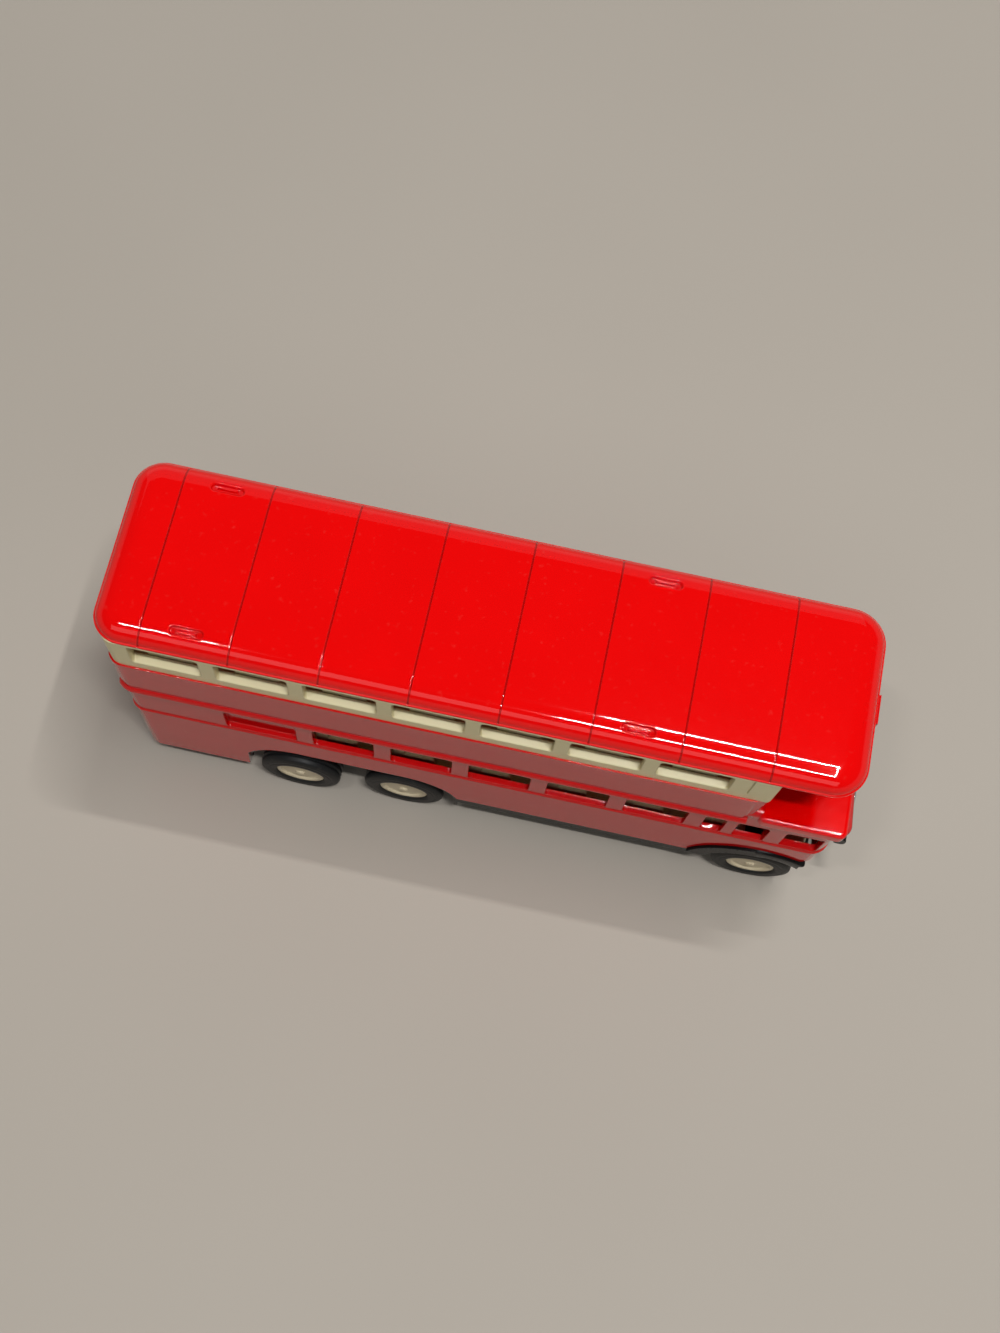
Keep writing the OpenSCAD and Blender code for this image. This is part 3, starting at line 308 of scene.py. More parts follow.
def cap(edge_ring, steps, low_x, high_x):
    """Rings drawn in from an outline to its middle line between two places, (1 - t) outline + t line,
    straight across along the sides."""
    line = edge_ring.copy()
    line[:, 0] = np.clip(edge_ring[:, 0], low_x, high_x)
    line[:, 1] = 0
    t = np.linspace(0, 1, steps + 1)[1:, None, None]
    return edge_ring[None] * (1 - t) + line[None] * t


def roof_outline(x0, x1, half, r_rear, r_front, side_x):
    """Closed plan outline of straight runs and arcs, counter-clockwise from the rear of the -Y side: its
    points and outward normals, so that a ring drawn in by d is the points less d times the normals."""
    arc_points, front_points, rear_points = 15, 41, 25
    arc = np.linspace(0, np.pi / 2, arc_points)[1:-1]
    across_front = np.linspace(-half + r_front, half - r_front, front_points)
    across_rear = np.linspace(half - r_rear, -half + r_rear, rear_points)

    def bend(cx, cy, r, start):
        turn = np.stack([np.cos(start + arc), np.sin(start + arc)], -1)
        return np.array([cx, cy]) + r * turn, turn

    def run(x, y, normal):
        points = np.stack(np.broadcast_arrays(x, y), -1).astype(float)
        return points, np.broadcast_to(np.array(normal, float), points.shape)

    parts = [run(side_x, -half, (0, -1)), bend(x1 - r_front, -half + r_front, r_front, -np.pi / 2),
             run(x1, across_front, (1, 0)), bend(x1 - r_front, half - r_front, r_front, 0),
             run(side_x[::-1], half, (0, 1)), bend(x0 + r_rear, half - r_rear, r_rear, np.pi / 2),
             run(x0, across_rear, (-1, 0)), bend(x0 + r_rear, -half + r_rear, r_rear, np.pi)]
    return np.concatenate([p for p, n in parts]), np.concatenate([n for p, n in parts])


class ToyBusOperator:
    """What the operators share: undo, and the scene's sizes and colours."""
    bl_options = {"REGISTER", "UNDO"}

    @property
    def sizes(self):
        return bpy.context.scene.toy_bus_sizes

    @property
    def colours(self):
        return bpy.context.scene.toy_bus_colours


class OBJECT_OT_bus_finishes(ToyBusOperator, Operator):
    """Makes the finishes of the shell and gives them to the CAD nodes that stay"""
    bl_idname = "object.bus_finishes"
    bl_label = "Finishes"

    def execute(self, context):
        c = self.colours
        # Stoved enamel on die-cast zinc: deep even gloss, a faint orange peel, paint thinner at the edges.
        # Its red is set darker than the roofs' red as a painted shade on the sides of the body and the front
        # bay, which take less light
        moulded_finish("gloss_enamel_red", srgb("#cf0205"), srgb("#c50104"), rough=0.07, grain_mm=1.6,
                       grain_depth_mm=0.003, edge_tone=srgb("#ee2a1c"), edge_mm=0.3, dust=0.03)
        # The same enamel on the roofs, in its full tone, whose edges are round in the mesh: sharper gloss,
        # and a dark tone in the seams and ventilator wells that is part dirt and part painted shade
        moulded_finish("gloss_enamel_red_roof", c.red, srgb("#da0101"), rough=0.045, grain_mm=1.6,
                       grain_depth_mm=0.0015, edge_tone=srgb("#ee2a1c"), edge_mm=0.3, dust=0.03,
                       seam_dirt_and_shade_tone=srgb("#a60000"), soften=False)
        # Injection-moulded ABS in cream: satin, slightly uneven, paler along the edges
        cream = moulded_finish("moulded_abs_cream", c.cream, srgb("#dfd4a4"), rough=0.42, grain_mm=0.5,
                               grain_depth_mm=0.006, edge_tone=srgb("#f0e9c8"), edge_mm=0.35, dust=0.08)
        dress(["upper_seat_tray", "lower_seat_tray", "cab_interior"], cream)
        # Satin black over zinc: dark, soft gloss, edges rubbed a little grey
        black = moulded_finish("satin_black_base", c.black, srgb("#121213"), rough=0.28, grain_mm=0.6,
                               grain_depth_mm=0.003, edge_tone=srgb("#2e2e30"), edge_mm=0.25, dust=0.08,
                               specular=0.1)
        dress(["steering_wheel", "radiator_core"], black)
        # Vacuum-plated plastic: mirror-like with a faint haze
        bright = moulded_finish("plated_plastic_bright", srgb("#d9dbde"), srgb("#c4c7cb"), rough=0.12,
                                grain_mm=0.4, grain_depth_mm=0.003, edge_mm=0.2, dust=0.05, metallic=1.0)
        dress(["radiator_shell", "headlamp_left", "headlamp_right"], bright)
        # Drawn steel wire and zinc-plated screws: grey, fine haze
        steel = moulded_finish("drawn_steel", srgb("#a9abad"), srgb("#8f9194"), rough=0.3, grain_mm=0.3,
                               grain_depth_mm=0.004, edge_mm=0.15, dust=0.1, metallic=1.0)
        dress(["rear_axle", "middle_axle", "front_axle", "base_screws", "roof_screws"], steel)
        return {"FINISHED"}


# Roof

def roof_section(s, gutter, top):
    """Section of the roof, from the ceiling's edge round the gutter and up over the edge: inward distances d,
    heights z and which rows lie outside. The round is z = h (1 - (1 - d / w)^p)^(1/p) above the gutter."""
    lip = np.array([[2.6, 1.2], [2.6, 0.0], [0.15, 0.0], [-0.12, 0.0], [-0.2, 0.08], [-0.2, 0.36],
                    [-0.12, 0.46], [0.0, 0.49], [0.06, 0.52]]) * MM
    lip_top, outside_points = 0.58 * MM, 2
    steep_turn = np.linspace(0.06, 0.66, 16) * np.pi / 2
    steep_d = s.edge_width * (1 - np.cos(steep_turn) ** (2 / s.edge_power))
    vent_d = np.arange(2.12, 3.96, 0.07) * MM  # close rows where the ventilators lie
    flat_d = s.edge_width - np.array([0.2, 0]) * MM
    round_d = np.concatenate([steep_d, vent_d, flat_d])
    fall = np.clip(1 - round_d / s.edge_width, 0, 1)
    round_z = gutter + (top - gutter) * (1 - fall ** s.edge_power) ** (1 / s.edge_power)
    above = round_z > gutter + lip_top
    d = np.concatenate([lip[:, 0], round_d[above]])
    z = np.concatenate([lip[:, 1] + gutter, round_z[above]])
    return d, z, np.arange(len(d)) >= len(lip) - outside_points


def roof_relief(s, from_seam, from_vent, across_vent):
    """Depth cut into the roof and the dark tone painted in it, by the distance from the nearest seam, and the
    distances along and across from the middle of the nearest ventilator: a seam is a narrow groove with steep
    walls, darkened by dirt and a painted shade, a ventilator a sunk stadium with a bar left standing along
    its middle, its well darkened by a painted shade. Each wall is a soft step between the two distances that
    are named for it."""
    groove_wall, groove_dirt_and_shade_edge = (0.07 * MM, 0.17 * MM), (0.1 * MM, 0.19 * MM)
    well_wall, bar_wall = (-0.16 * MM, 0.1 * MM), (-0.1 * MM, 0.12 * MM)
    groove = s.seam_depth * (1 - soft_step(from_seam, *groove_wall))
    # Dark tone in a seam's groove: dirt and a painted shade
    groove_dirt_and_shade = 1 - soft_step(from_seam, *groove_dirt_and_shade_edge)
    # A ventilator's well is darkened at half strength by a painted shade
    well_depth, well_shade, bar_height = 0.5 * MM, 0.5, 0.46 * MM
    bar_half_length, bar_half_width, bar_shift = 1.5 * MM, 0.24 * MM, 0.1 * MM
    end_r = s.vent_width / 2
    past_end = np.maximum(from_vent - (s.vent_length / 2 - end_r), 0)
    past_rim = np.hypot(past_end, across_vent) - end_r
    well = well_depth * (1 - soft_step(past_rim, *well_wall))
    past_bar = np.maximum(from_vent - bar_half_length, np.abs(across_vent + bar_shift) - bar_half_width)
    bar = bar_height * (1 - soft_step(past_bar, *bar_wall))
    sunk = np.maximum(well - bar, 0)
    return groove + sunk, np.maximum(groove_dirt_and_shade, well_shade * sunk / well_depth)


def screw_post(x, low, high):
    """Upright round post for a roof screw, closed at both ends: (x + r cos t, r sin t, z)."""
    steps, r = 32, 2.2 * MM
    turn = np.linspace(0, 2 * np.pi, steps, endpoint=False)
    radius = np.array([0, r, r, 0])[:, None]
    z = np.repeat([[low], [low], [high], [high]], steps, 1)
    post = np.stack([x + radius * np.cos(turn), radius * np.sin(turn), z], -1)
    return post.reshape(-1, 3), grid_faces(len(radius), steps)


class OBJECT_OT_bus_roof(ToyBusOperator, Operator):
    """Makes the enamelled roof with its rounded edge, gutter, seams and ventilators"""
    bl_idname = "object.bus_roof"
    bl_label = "Roof"

    def execute(self, context):
        s = self.sizes
        lip_out, r_rear, r_front = 0.2 * MM, 4.5 * MM, 5.2 * MM
        first_seam, seams, post_seams, vent_bays = 7.8 * MM, 8, [1, 6], np.array([0.5, 5.5])
        vent_y, vent_reach, ceiling_depth = 11.8 * MM, 3 * MM, 1.2 * MM
        rear_crown, front_crown = 6 * MM, 8 * MM
        even_points, vent_points, ceiling_rings, crown_rings = 54, 61, 4, 5
        x0, x1 = ROOF_LOW[0] + lip_out, ROOF_HIGH[0] - lip_out
        half, top = ROOF_HIGH[1] - lip_out, ROOF_HIGH[2]
        seam_x = ROOF_LOW[0] + first_seam + s.seam_pitch * np.arange(seams)
        vent_x = seam_x[0] + s.seam_pitch * vent_bays

        # Points along the sides: even ones, and close ones at the seams and the ventilators
        by_seam = np.array([0.07, 0.1, 0.14, 0.17, 0.21, 0.3, 0.5]) * MM
        by_seam = np.concatenate([-by_seam[::-1], [0], by_seam])
        by_vent = np.linspace(-vent_reach, vent_reach, vent_points)
        even_x = np.linspace(x0 + r_rear, x1 - r_front, even_points)
        near_seams, near_vents = seam_x[:, None] + by_seam, vent_x[:, None] + by_vent
        side_x = np.concatenate([even_x, near_seams.ravel(), near_vents.ravel()])
        side_x = np.unique(np.round(side_x, 7))
        side_x = side_x[(side_x >= x0 + r_rear) & (side_x <= x1 - r_front)]

        # Seams and ventilators are cut square to the section, along the sides and not round the ends
        outline, normal = roof_outline(x0, x1, half, r_rear, r_front, side_x)
        d, z, outside = roof_section(s, GUTTER_Z, top)
        x = outline[:, 0] - d[:, None] * normal[:, 0]
        from_seam = np.min(np.abs(x[..., None] - seam_x), -1)
        from_vent = np.min(np.abs(x[..., None] - vent_x), -1)
        # Besides the cut, the relief gives the dark tone painted in it: dirt and painted shade in the seams,
        # painted shade in the ventilator wells
        cut, dirt_and_shade = roof_relief(s, from_seam, from_vent, d[:, None] - (half - vent_y))
        on_side = np.abs(normal[:, 1]) > 0.999
        cut, dirt_and_shade = np.where(outside[:, None] & on_side, (cut, dirt_and_shade), 0)
        slope = np.gradient(np.stack([d, z], -1), axis=0)
        slope /= np.linalg.norm(slope, axis=1, keepdims=True)
        d = d[:, None] + cut * slope[:, 1:]
        z = z[:, None] - cut * slope[:, :1]
        ring = np.stack([outline[:, 0] - d * normal[:, 0], outline[:, 1] - d * normal[:, 1], z], -1)

        middle_line = x0 + rear_crown, x1 - front_crown
        ceiling = cap(ring[0], ceiling_rings, *middle_line)[::-1]
        crown = cap(ring[-1], crown_rings, *middle_line)
        points = np.concatenate([ceiling, ring, crown])
        # The crown carries the last ring's dark tone on: dirt and painted shade where the seams cross the top
        crown_dirt_and_shade = np.repeat(dirt_and_shade[-1:], len(crown), 0)
        dirt_and_shade_marks = np.concatenate([np.zeros(ceiling.shape[:2]), dirt_and_shade, crown_dirt_and_shade]).ravel()
        faces = grid_faces(len(points), len(outline))
        points = points.reshape(-1, 3)
        for post_x in seam_x[post_seams]:
            post, post_faces = screw_post(post_x, ROOF_LOW[2], top - ceiling_depth)
            faces = np.concatenate([faces, post_faces + len(points)])
            points = np.concatenate([points, post])
        dirt_and_shade_marks = np.concatenate([dirt_and_shade_marks, np.zeros(len(points) - len(dirt_and_shade_marks))])
        enamel = bpy.data.materials["gloss_enamel_red_roof"]
        obj = new_piece("roof_enamel", points, faces, enamel, SHELL, dirt_and_shade_marks)
        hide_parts("roof")
        return {"FINISHED"}


# Shell: the next functions move a CAD node's points, in millimetres, from their places on the solid

def at(value, place, slack=0.02):
    """Where a coordinate has a given place on the solid."""
    return np.abs(value - place) < slack


def fit_body(x, y, z):
    """Body: thinner walls and flatter sills in the lower deck, the cab and the wall over it further forward,
    the skirt behind the rear wheels and the cab's wall over the wing lower, and no beads across the rear."""
    inner_y, thin_inner_y = 13.5, 14.0
    sill_z, flat_sill_z = 25.7, 25.5
    skirt_z, low_skirt_z = 10, 4.4
    foot_z, low_foot_z = 19.2, 17.4
    cab_forward, cab_low, cab_high, cab_top = 1.4, 18, 37.45, 39.95
    rear_x, rear_arch_x, deck_end_x, cab_foot_x, cab_front_x = -61.15, -42.4, 46.3, 50, 51.85
    cab_inner_y, wall_y = 0.1, 15.02
    side, cab_side = np.abs(y), y < cab_inner_y
    inner = at(side, inner_y) & (x < deck_end_x)
    cab = cab_side & (x > cab_front_x) & (z > cab_low) & (z < cab_high)
    wall = (x > CAB_WALL_X) & (z > cab_top) & (side < wall_y)
    skirt = at(z, skirt_z) & (x < rear_arch_x)
    foot = at(z, foot_z, 0.05) & (x > cab_foot_x) & cab_side
    sill = inner & at(z, sill_z)
    return (np.maximum(x, rear_x) + cab_forward * cab + CAB_WALL_FORWARD * wall,
            np.where(inner, np.sign(y) * thin_inner_y, y),
            np.select([skirt, foot, sill], [low_skirt_z, low_foot_z, flat_sill_z], z))


def fit_base(x, y, z):
    """Base: the wings' straight front drawn in between two circles about the front axle, the rim flush with
    the side ahead of the tandem wheels and set in behind them, and the bumper shorter at both ends."""
    wing_x, wing_y, wing_low, wing_high, wing_tip_x = 47.6, 8.3, 12.3, 19.3, 54.0
    well_r, well_y = 9.4, 9.85
    inner_r, outer_r, longest_reach = 9.6, 11.9, 9
    rim_y, flush_rim_y, rear_rim_y = 14.7, 14.95, 13.9
    flush_x, rear_x, rear_high = -6, -33.2, 10
    bumper_x, bumper_y, bumper_high, bumper_in = 60.4, 7, 11.3, 0.6
    side, sign = np.abs(y), np.sign(y)
    outside_well = (np.hypot(x - FRONT_AXLE_X, z - FRONT_AXLE_Z) > well_r) | (side > well_y)
    wing = (side > wing_y) & (x > wing_x) & (z > wing_low) & (z < wing_high) & outside_well
    rim = at(side, rim_y)
    rear_rim = rim & (x < rear_x) & (z < rear_high)
    side = np.select([rim & (x > flush_x), rear_rim], [flush_rim_y, rear_rim_y], side)
    side = side - bumper_in * ((x > bumper_x) & (side > bumper_y) & (z < bumper_high))
    x = np.where(wing, np.minimum(x, wing_tip_x), x)
    reach = np.clip(x - FRONT_AXLE_X, 0, longest_reach)
    lowest = FRONT_AXLE_Z + np.sqrt(inner_r ** 2 - reach ** 2)
    highest = FRONT_AXLE_Z + np.sqrt(outer_r ** 2 - reach ** 2)
    return x, sign * side, np.where(wing, np.clip(z, lowest, highest), z)


def fit_band(x, y, z):
    """Window band: its front end goes forward with the wall over the cab roof."""
    return x + CAB_WALL_FORWARD * (x > CAB_WALL_X), y, z


def fit_bay(x, y, z):
    """Front bay: a shorter blank box over the windows."""
    box_x, box_back = 53.6, 0.6
    return x - box_back * (x > box_x), y, z


def cab_roof():
    """Cab roof, nearly square in plan: a section (d, z) from the underside up a plain edge and over a small
    round, d = r (1 - cos t) and z = high - r + r sin t, is carried round the outline."""
    x0, x1, half = 42.2 * MM, 56.1 * MM, 15.9 * MM
    low, high = 37.35 * MM, 39.93 * MM
    r_rear, r_front, r = 0.9 * MM, 1.25 * MM, 0.7 * MM
    chamfer, flat, cap_in = 0.08 * MM, 0.06 * MM, 4 * MM
    side_points, round_points, cap_rings = 12, 8, 3
    side_x = np.linspace(x0 + r_rear, x1 - r_front, side_points)
    outline, normal = roof_outline(x0, x1, half, r_rear, r_front, side_x)
    turn = np.linspace(0, np.pi / 2, round_points)
    d = np.concatenate([[r, chamfer, 0, 0], r * (1 - np.cos(turn)), [r + flat]])
    z = np.concatenate([[low, low, low + chamfer, low + 2 * chamfer], high - r + r * np.sin(turn), [high]])
    ring = np.concatenate([outline[None] - d[:, None, None] * normal[None],
                           np.broadcast_to(z[:, None, None], (len(d), len(outline), 1))], -1)
    middle_line = x0 + cap_in, x1 - cap_in
    underside, top = cap(ring[0], cap_rings, *middle_line)[::-1], cap(ring[-1], cap_rings, *middle_line)
    points = np.concatenate([underside, ring, top])
    return points, grid_faces(len(points), len(outline))


def front_wing(sign):
    """Front wing: a rounded section of radius and width is carried round the axle from the tip over the top.
    Its point (r, y) goes to (x0 + r cos t, y, z0 + r sin t), and both ends close on the section's middle."""
    inner_r, outer_r, inner_y, outer_y, edge = 9.35, 12.15, 8.6, 15.5, 0.45
    tip, back, steps, tip_ease, end_share = 50, 96, 40, 0.9, 0.9  # turns in degrees from straight ahead
    turn = np.linspace(0, np.pi / 2, 5)
    edge_sin, edge_cos = edge * np.sin(turn), edge * np.cos(turn)
    section = np.concatenate([
        np.stack([outer_r - edge + edge_cos, outer_y - edge + edge_sin], -1),
        np.stack([inner_r + edge - edge_sin, outer_y - edge + edge_cos], -1),
        np.stack([inner_r + edge - edge_cos, inner_y + edge - edge_sin], -1),
        np.stack([outer_r - edge + edge_sin, inner_y + edge - edge_cos], -1)])
    middle = np.array([(inner_r + outer_r) / 2, (inner_y + outer_y) / 2])
    t = np.radians(np.concatenate([[tip, tip], np.linspace(tip, back, steps), [back, back]]))
    t[2] += np.radians(tip_ease)
    share = np.concatenate([[0, end_share], np.ones(steps), [end_share, 0]])[:, None, None]
    radius, out = np.moveaxis(middle + (section - middle)[None] * share, -1, 0)
    points = np.stack([FRONT_AXLE_X + radius * np.cos(t)[:, None], sign * out,
                       FRONT_AXLE_Z + radius * np.sin(t)[:, None]], -1) * MM
    return points, grid_faces(len(points), len(section))


class OBJECT_OT_bus_shell(ToyBusOperator, Operator):
    """Makes the body, window band, front bay and base with thinner walls and the front as photographed"""
    bl_idname = "object.bus_shell"
    bl_label = "Shell"

    def execute(self, context):
        red, cream, black, roof_red = (bpy.data.materials[name] for name in (
            "gloss_enamel_red", "moulded_abs_cream", "satin_black_base", "gloss_enamel_red_roof"))
        # The body and the front bay take the darker red, a painted shade on their sides
        for node, name, mat, slot, move in (
                ("lower_body", "lower_body_enamel", red, "red_enamel", fit_body),
                ("upper_front", "upper_front_enamel", red, "red_enamel", fit_bay),
                ("upper_window_band", "window_band_cream", cream, "cream_plastic", fit_band),
                ("chassis_base", "chassis_base_black", black, "black_plastic", fit_base)):
            fitted_copy(node, name, mat, move)
        obj = new_piece("cab_roof_enamel", *cab_roof(), roof_red, SHELL)
        for side, sign in SIDES:
            obj = new_piece(f"front_wing_{side}", *front_wing(sign), black, SHELL)
        return {"FINISHED"}


# Wheels

def tyre_section(rim, r, inner, face):
    """Closed tyre section as (radius, y, corner radius): bore, outer wall with a shallow bead, round
    shoulder, tread with two grooves, inner wall. The tables give millimetres off the rim or the tread, and
    off the face or the back."""
    off_rim = ((0.02, 0.32, 0.1), (0.25, 0.1, 0.2), (0.6, 0, 0.5), (1.2, 0.02, 0.3), (1.45, 0.1, 0.3))
    off_tread = ((1.0, 0.06, 0.8), (0.15, 0.35, 0.6), (0, 1.05, 0.3))
    off_back = ((0, 1.05, 0.3), (0.15, 0.35, 0.6), (1.0, 0, 0.6))
    groove_depth, groove_half, groove_place, groove_r = 0.28 * MM, 0.24 * MM, 0.55 * MM, 0.1 * MM
    floor_half = 0.6 * groove_half
    back_bead, back_r = 0.4 * MM, 0.2 * MM
    bore_end = (rim + 0.02 * MM, inner + 0.3 * MM, 0)
    middle = (inner + face) / 2
    section = [bore_end]
    section += [(rim + a * MM, face - b * MM, c * MM) for a, b, c in off_rim]
    section += [(r - a * MM, face - b * MM, c * MM) for a, b, c in off_tread]
    for y in (middle + groove_place, middle - groove_place):
        section += [(r, y + groove_half, groove_r), (r - groove_depth, y + floor_half, groove_r),
                    (r - groove_depth, y - floor_half, groove_r), (r, y - groove_half, groove_r)]
    section += [(r - a * MM, inner + b * MM, c * MM) for a, b, c in off_back]
    return section + [(rim + back_bead, inner, back_r), bore_end]


def disc_section(rim, hub_in, inner, face):
    """Wheel disc section as (radius, y, corner radius): the boss, the back, the rim ring, the shallow dish
    and the cap over the axle. The front's table gives millimetres from the axle and out from the ring."""
    bore, boss, back_in, face_in = 1.02 * MM, 1.7 * MM, 0.4 * MM, 0.35 * MM
    ring_width, dish_start, dish_depth = 0.65 * MM, 1.0 * MM, 0.42 * MM
    front = ((1.5, -0.25, 0.6), (0.85, -0.22, 0.3), (0.72, 0.12, 0.3), (0.3, 0.2, 0.3), (0, 0.2, 0))
    back, out = inner + back_in, face - face_in
    section = [(bore, hub_in, 0), (boss, hub_in, 0.1 * MM), (boss, back, 0.2 * MM), (rim, back, 0.1 * MM),
               (rim, out, 0.2 * MM), (rim - ring_width, out, 0.25 * MM),
               (rim - dish_start, out - dish_depth, 0.3 * MM)]
    return section + [(a * MM, out + b * MM, c * MM) for a, b, c in front]


class OBJECT_OT_bus_wheels(ToyBusOperator, Operator):
    """Makes the tyres with their shoulders and grooves, and the dished wheel discs"""
    bl_idname = "object.bus_wheels"
    bl_label = "Wheels"

    def execute(self, context):
        c, steps = self.colours, self.sizes.lathe_steps
        # Moulded rubber: dark grey, dull, with a dusty tread
        rubber = moulded_finish("moulded_rubber", c.rubber, srgb("#131415"), rough=0.5, grain_mm=0.35,
                                grain_depth_mm=0.012, edge_mm=0.2, dust=0.12, dust_colour="#8d867a",
                                specular=0.3)
        # Moulded discs: beige, satin, a little dirt in the dish
        beige = moulded_finish("moulded_abs_beige", c.hub, srgb("#cdbf9f"), rough=0.4, grain_mm=0.5,
                               grain_depth_mm=0.006, edge_tone=srgb("#ddd5b4"), edge_mm=0.2, dust=0.14,
                               dust_colour="#8a7f66", coat=0.15)
        for axle in AXLES:
            for side, sign in SIDES:
                low, high = (np.array(p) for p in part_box(f"{axle}_{side}_tyre"))
                hub_low, hub_high = (np.array(p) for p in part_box(f"{axle}_{side}_hub"))
                centre, r, rim = (low + high) / 2, (high[0] - low[0]) / 2, (hub_high[0] - hub_low[0]) / 2
                # Distances out from the middle of the bus, so that one section serves both sides
                face = high[1] if sign > 0 else -low[1]
                inner = face - (high[1] - low[1])
                hub_in = hub_low[1] if sign > 0 else -hub_high[1]
                tyre = lathe(round_path(tyre_section(rim, r, inner, face)) * [1, sign], centre, steps)
                obj = new_piece(f"{axle}_{side}_tyre_rubber", *tyre, rubber, f"{axle}_wheels")
                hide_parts(f"{axle}_{side}_tyre")
                disc = lathe(round_path(disc_section(rim, hub_in, inner, face)) * [1, sign], centre, steps)
                obj = new_piece(f"{axle}_{side}_disc", *disc, beige, f"{axle}_wheels")
                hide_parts(f"{axle}_{side}_hub")
        return {"FINISHED"}


# Stage

def lamp(name, place, target, size, watts):
    """Rectangular area lamp at a place, aimed at a target, with lengths in metres."""
    light = bpy.data.lights.new(name, "AREA")
    light.shape = "RECTANGLE"
    light.size, light.size_y = size
    light.energy = watts
    obj = bpy.data.objects.new(name, light)
    obj.location = place
    obj.rotation_euler = (Vector(target) - Vector(place)).to_track_quat("-Z", "Y").to_euler()
    bpy.context.scene.collection.objects.link(obj)


def plain_floor(colour):
    """Plain pale floor; far from the bus it keeps its tone, so that it runs into the backdrop."""
    patch_m, span_m, near_m, far_m = 0.12, 3.0, 0.35, 1.1
    mat, tree, shader, place = new_material("plain_floor")
    patches = add(tree, "ShaderNodeTexNoise", Vector=place, Scale=1 / patch_m, Detail=2.0)
    tone = add(tree, "ShaderNodeMix", {"data_type": "RGBA"}, i0=patches.outputs["Fac"], i6=colour,
               i7=srgb("#a1998e"))
    tree.links.new(tone.outputs[2], shader.inputs["Base Color"])
    shader.inputs["Roughness"].default_value = 0.7
    far = add(tree, "ShaderNodeVectorMath", {"operation": "LENGTH"}, i0=place)
    away = add(tree, "ShaderNodeMapRange", {"interpolation_type": "SMOOTHSTEP"}, Value=far.outputs["Value"],
               From_Min=near_m, From_Max=far_m)
    share = add(tree, "ShaderNodeMath", {"operation": "MULTIPLY"}, i0=away.outputs[0],
                i1=seen_directly(tree))
    glow = add(tree, "ShaderNodeEmission", Color=colour, Strength=1.0)
    mixed = add(tree, "ShaderNodeMixShader", i0=share.outputs[0], i1=shader.outputs["BSDF"],
                i2=glow.outputs[0])
    tree.links.new(mixed.outputs[0], tree.nodes["Material Output"].inputs["Surface"])
    data = bpy.data.meshes.new("floor")
    corners = [(-span_m, -span_m, 0), (span_m, -span_m, 0), (span_m, span_m, 0), (-span_m, span_m, 0)]
    data.from_pydata(corners, [], [(0, 1, 2, 3)])
    data.materials.append(mat)
    floor = bpy.data.objects.new("floor", data)
    bpy.context.scene.collection.objects.link(floor)


def soft_room(colour):
    """World of weak cool light; towards the horizon it shows as a backdrop in the floor's tone."""
    world = bpy.data.worlds.new("soft_room")
    world.use_nodes = True
    tree = world.node_tree
    height = add(tree, "ShaderNodeSeparateXYZ", Vector=add(tree, "ShaderNodeTexCoord").outputs["Generated"])
    low = add(tree, "ShaderNodeMapRange", Value=height.outputs["Z"], From_Min=0.5, From_Max=0.25)
    share = add(tree, "ShaderNodeMath", {"operation": "MULTIPLY"}, i0=low.outputs[0],
                i1=seen_directly(tree))
    tone = add(tree, "ShaderNodeMix", {"data_type": "RGBA"}, i0=share.outputs[0], i6=srgb("#dfe3e6"),
               i7=colour)
    level = add(tree, "ShaderNodeMapRange", Value=share.outputs[0], To_Min=0.07, To_Max=1.0)
    tree.links.new(tone.outputs[2], tree.nodes["Background"].inputs["Color"])
    tree.links.new(level.outputs[0], tree.nodes["Background"].inputs["Strength"])
    return world


def photo_view():
    """Camera as fitted to the photograph, whose focal length in pixels is set against its longer side."""
    focal_px, photo_height_px, sensor_mm = 1615.09, 1333, 36
    place_mm, turn_degrees = (1.58, -84.86, 282.59), (19.05413, -3.13563, 11.71788)
    view = bpy.data.cameras.new("photo_view")
    view.lens = sensor_mm * focal_px / photo_height_px
    view.sensor_width = sensor_mm
    view.clip_start, view.clip_end = 0.01, 20
    camera = bpy.data.objects.new("photo_view", view)
    camera.location = tuple(a * MM for a in place_mm)
    camera.rotation_euler = tuple(math.radians(a) for a in turn_degrees)
    bpy.context.scene.collection.objects.link(camera)
    return camera


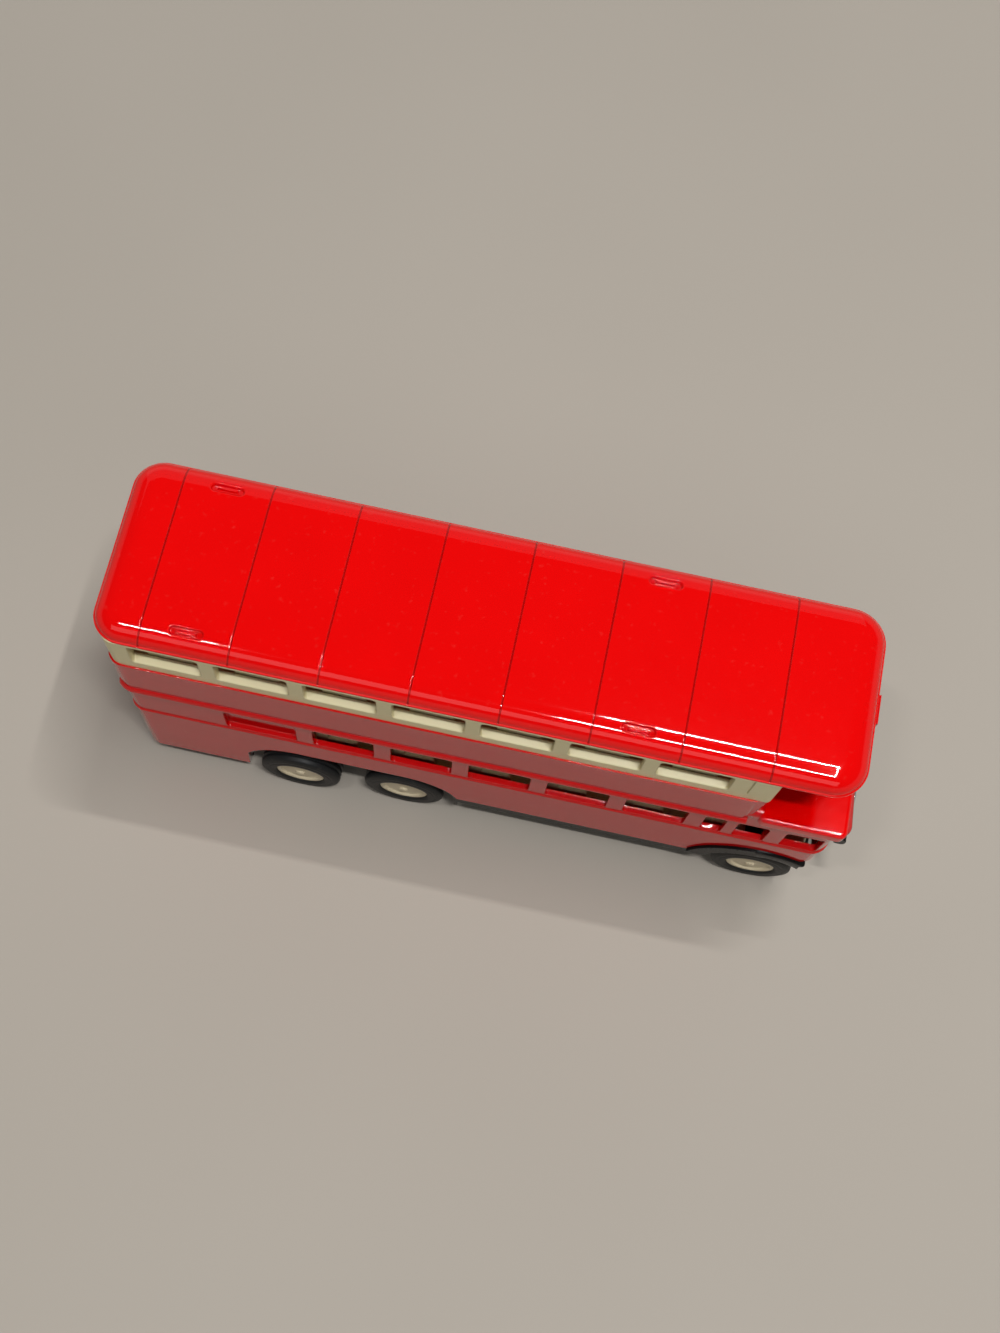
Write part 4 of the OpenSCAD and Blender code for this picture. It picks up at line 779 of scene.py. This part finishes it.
class OBJECT_OT_bus_stage(ToyBusOperator, Operator):
    """Makes the plain floor, the soft lights, the world and the camera"""
    bl_idname = "object.bus_stage"
    bl_label = "Stage"

    def execute(self, context):
        scene = context.scene
        scene.view_settings.view_transform = "Standard"
        plain_floor(self.colours.floor)
        # Key: a frame of narrow strips overhead, whose outline shows in the gloss of the roof's near edge
        strip_z = 1.2
        for name, x, y, size, watts in (
                ("key_strip_near", 0.18, -0.22, (0.28, 0.035), 5.8),
                ("key_strip_far", 0.2, 0.27, (0.24, 0.022), 3.9),
                ("key_strip_front", 0.32, 0.02, (0.022, 0.46), 4.4),
                ("key_strip_rear", -0.315, -0.22, (0.1, 0.022), 1.4)):
            lamp(name, (x, y, strip_z), (x, y, 0), size, watts)
        bus_middle = (0, 0, 0.03)
        lamp("room_fill", (-0.1, -0.85, 1.25), bus_middle, (1.6, 0.5), 2.6)
        lamp("far_fill", (-0.3, 1.2, 0.8), bus_middle, (2.0, 1.2), 1.8)
        scene.world = soft_room(self.colours.floor)
        scene.camera = photo_view()
        return {"FINISHED"}


class VIEW3D_PT_toy_bus(Panel):
    """Lists the sizes, the colours and the steps that dress the bus"""
    bl_idname = "VIEW3D_PT_toy_bus"
    bl_label = "Toy bus"
    bl_space_type = "VIEW_3D"
    bl_region_type = "UI"
    bl_category = "Toy bus"

    def draw(self, context):
        for group in (context.scene.toy_bus_sizes, context.scene.toy_bus_colours):
            for key in group.__annotations__:
                self.layout.prop(group, key)
        for step in STEPS:
            self.layout.operator(step.bl_idname)


STEPS = (OBJECT_OT_bus_finishes, OBJECT_OT_bus_roof, OBJECT_OT_bus_shell, OBJECT_OT_bus_wheels,
         OBJECT_OT_bus_stage)
CLASSES = (BusSizes, BusColours, *STEPS, VIEW3D_PT_toy_bus)


def register():
    for cls in CLASSES:
        bpy.utils.register_class(cls)
    bpy.types.Scene.toy_bus_sizes = PointerProperty(type=BusSizes)
    bpy.types.Scene.toy_bus_colours = PointerProperty(type=BusColours)


def unregister():
    del bpy.types.Scene.toy_bus_colours
    del bpy.types.Scene.toy_bus_sizes
    for cls in reversed(CLASSES):
        bpy.utils.unregister_class(cls)


def main():
    register()
    for step in STEPS:
        area, name = step.bl_idname.split(".")
        getattr(getattr(bpy.ops, area), name)()


if __name__ == "__main__":
    main()
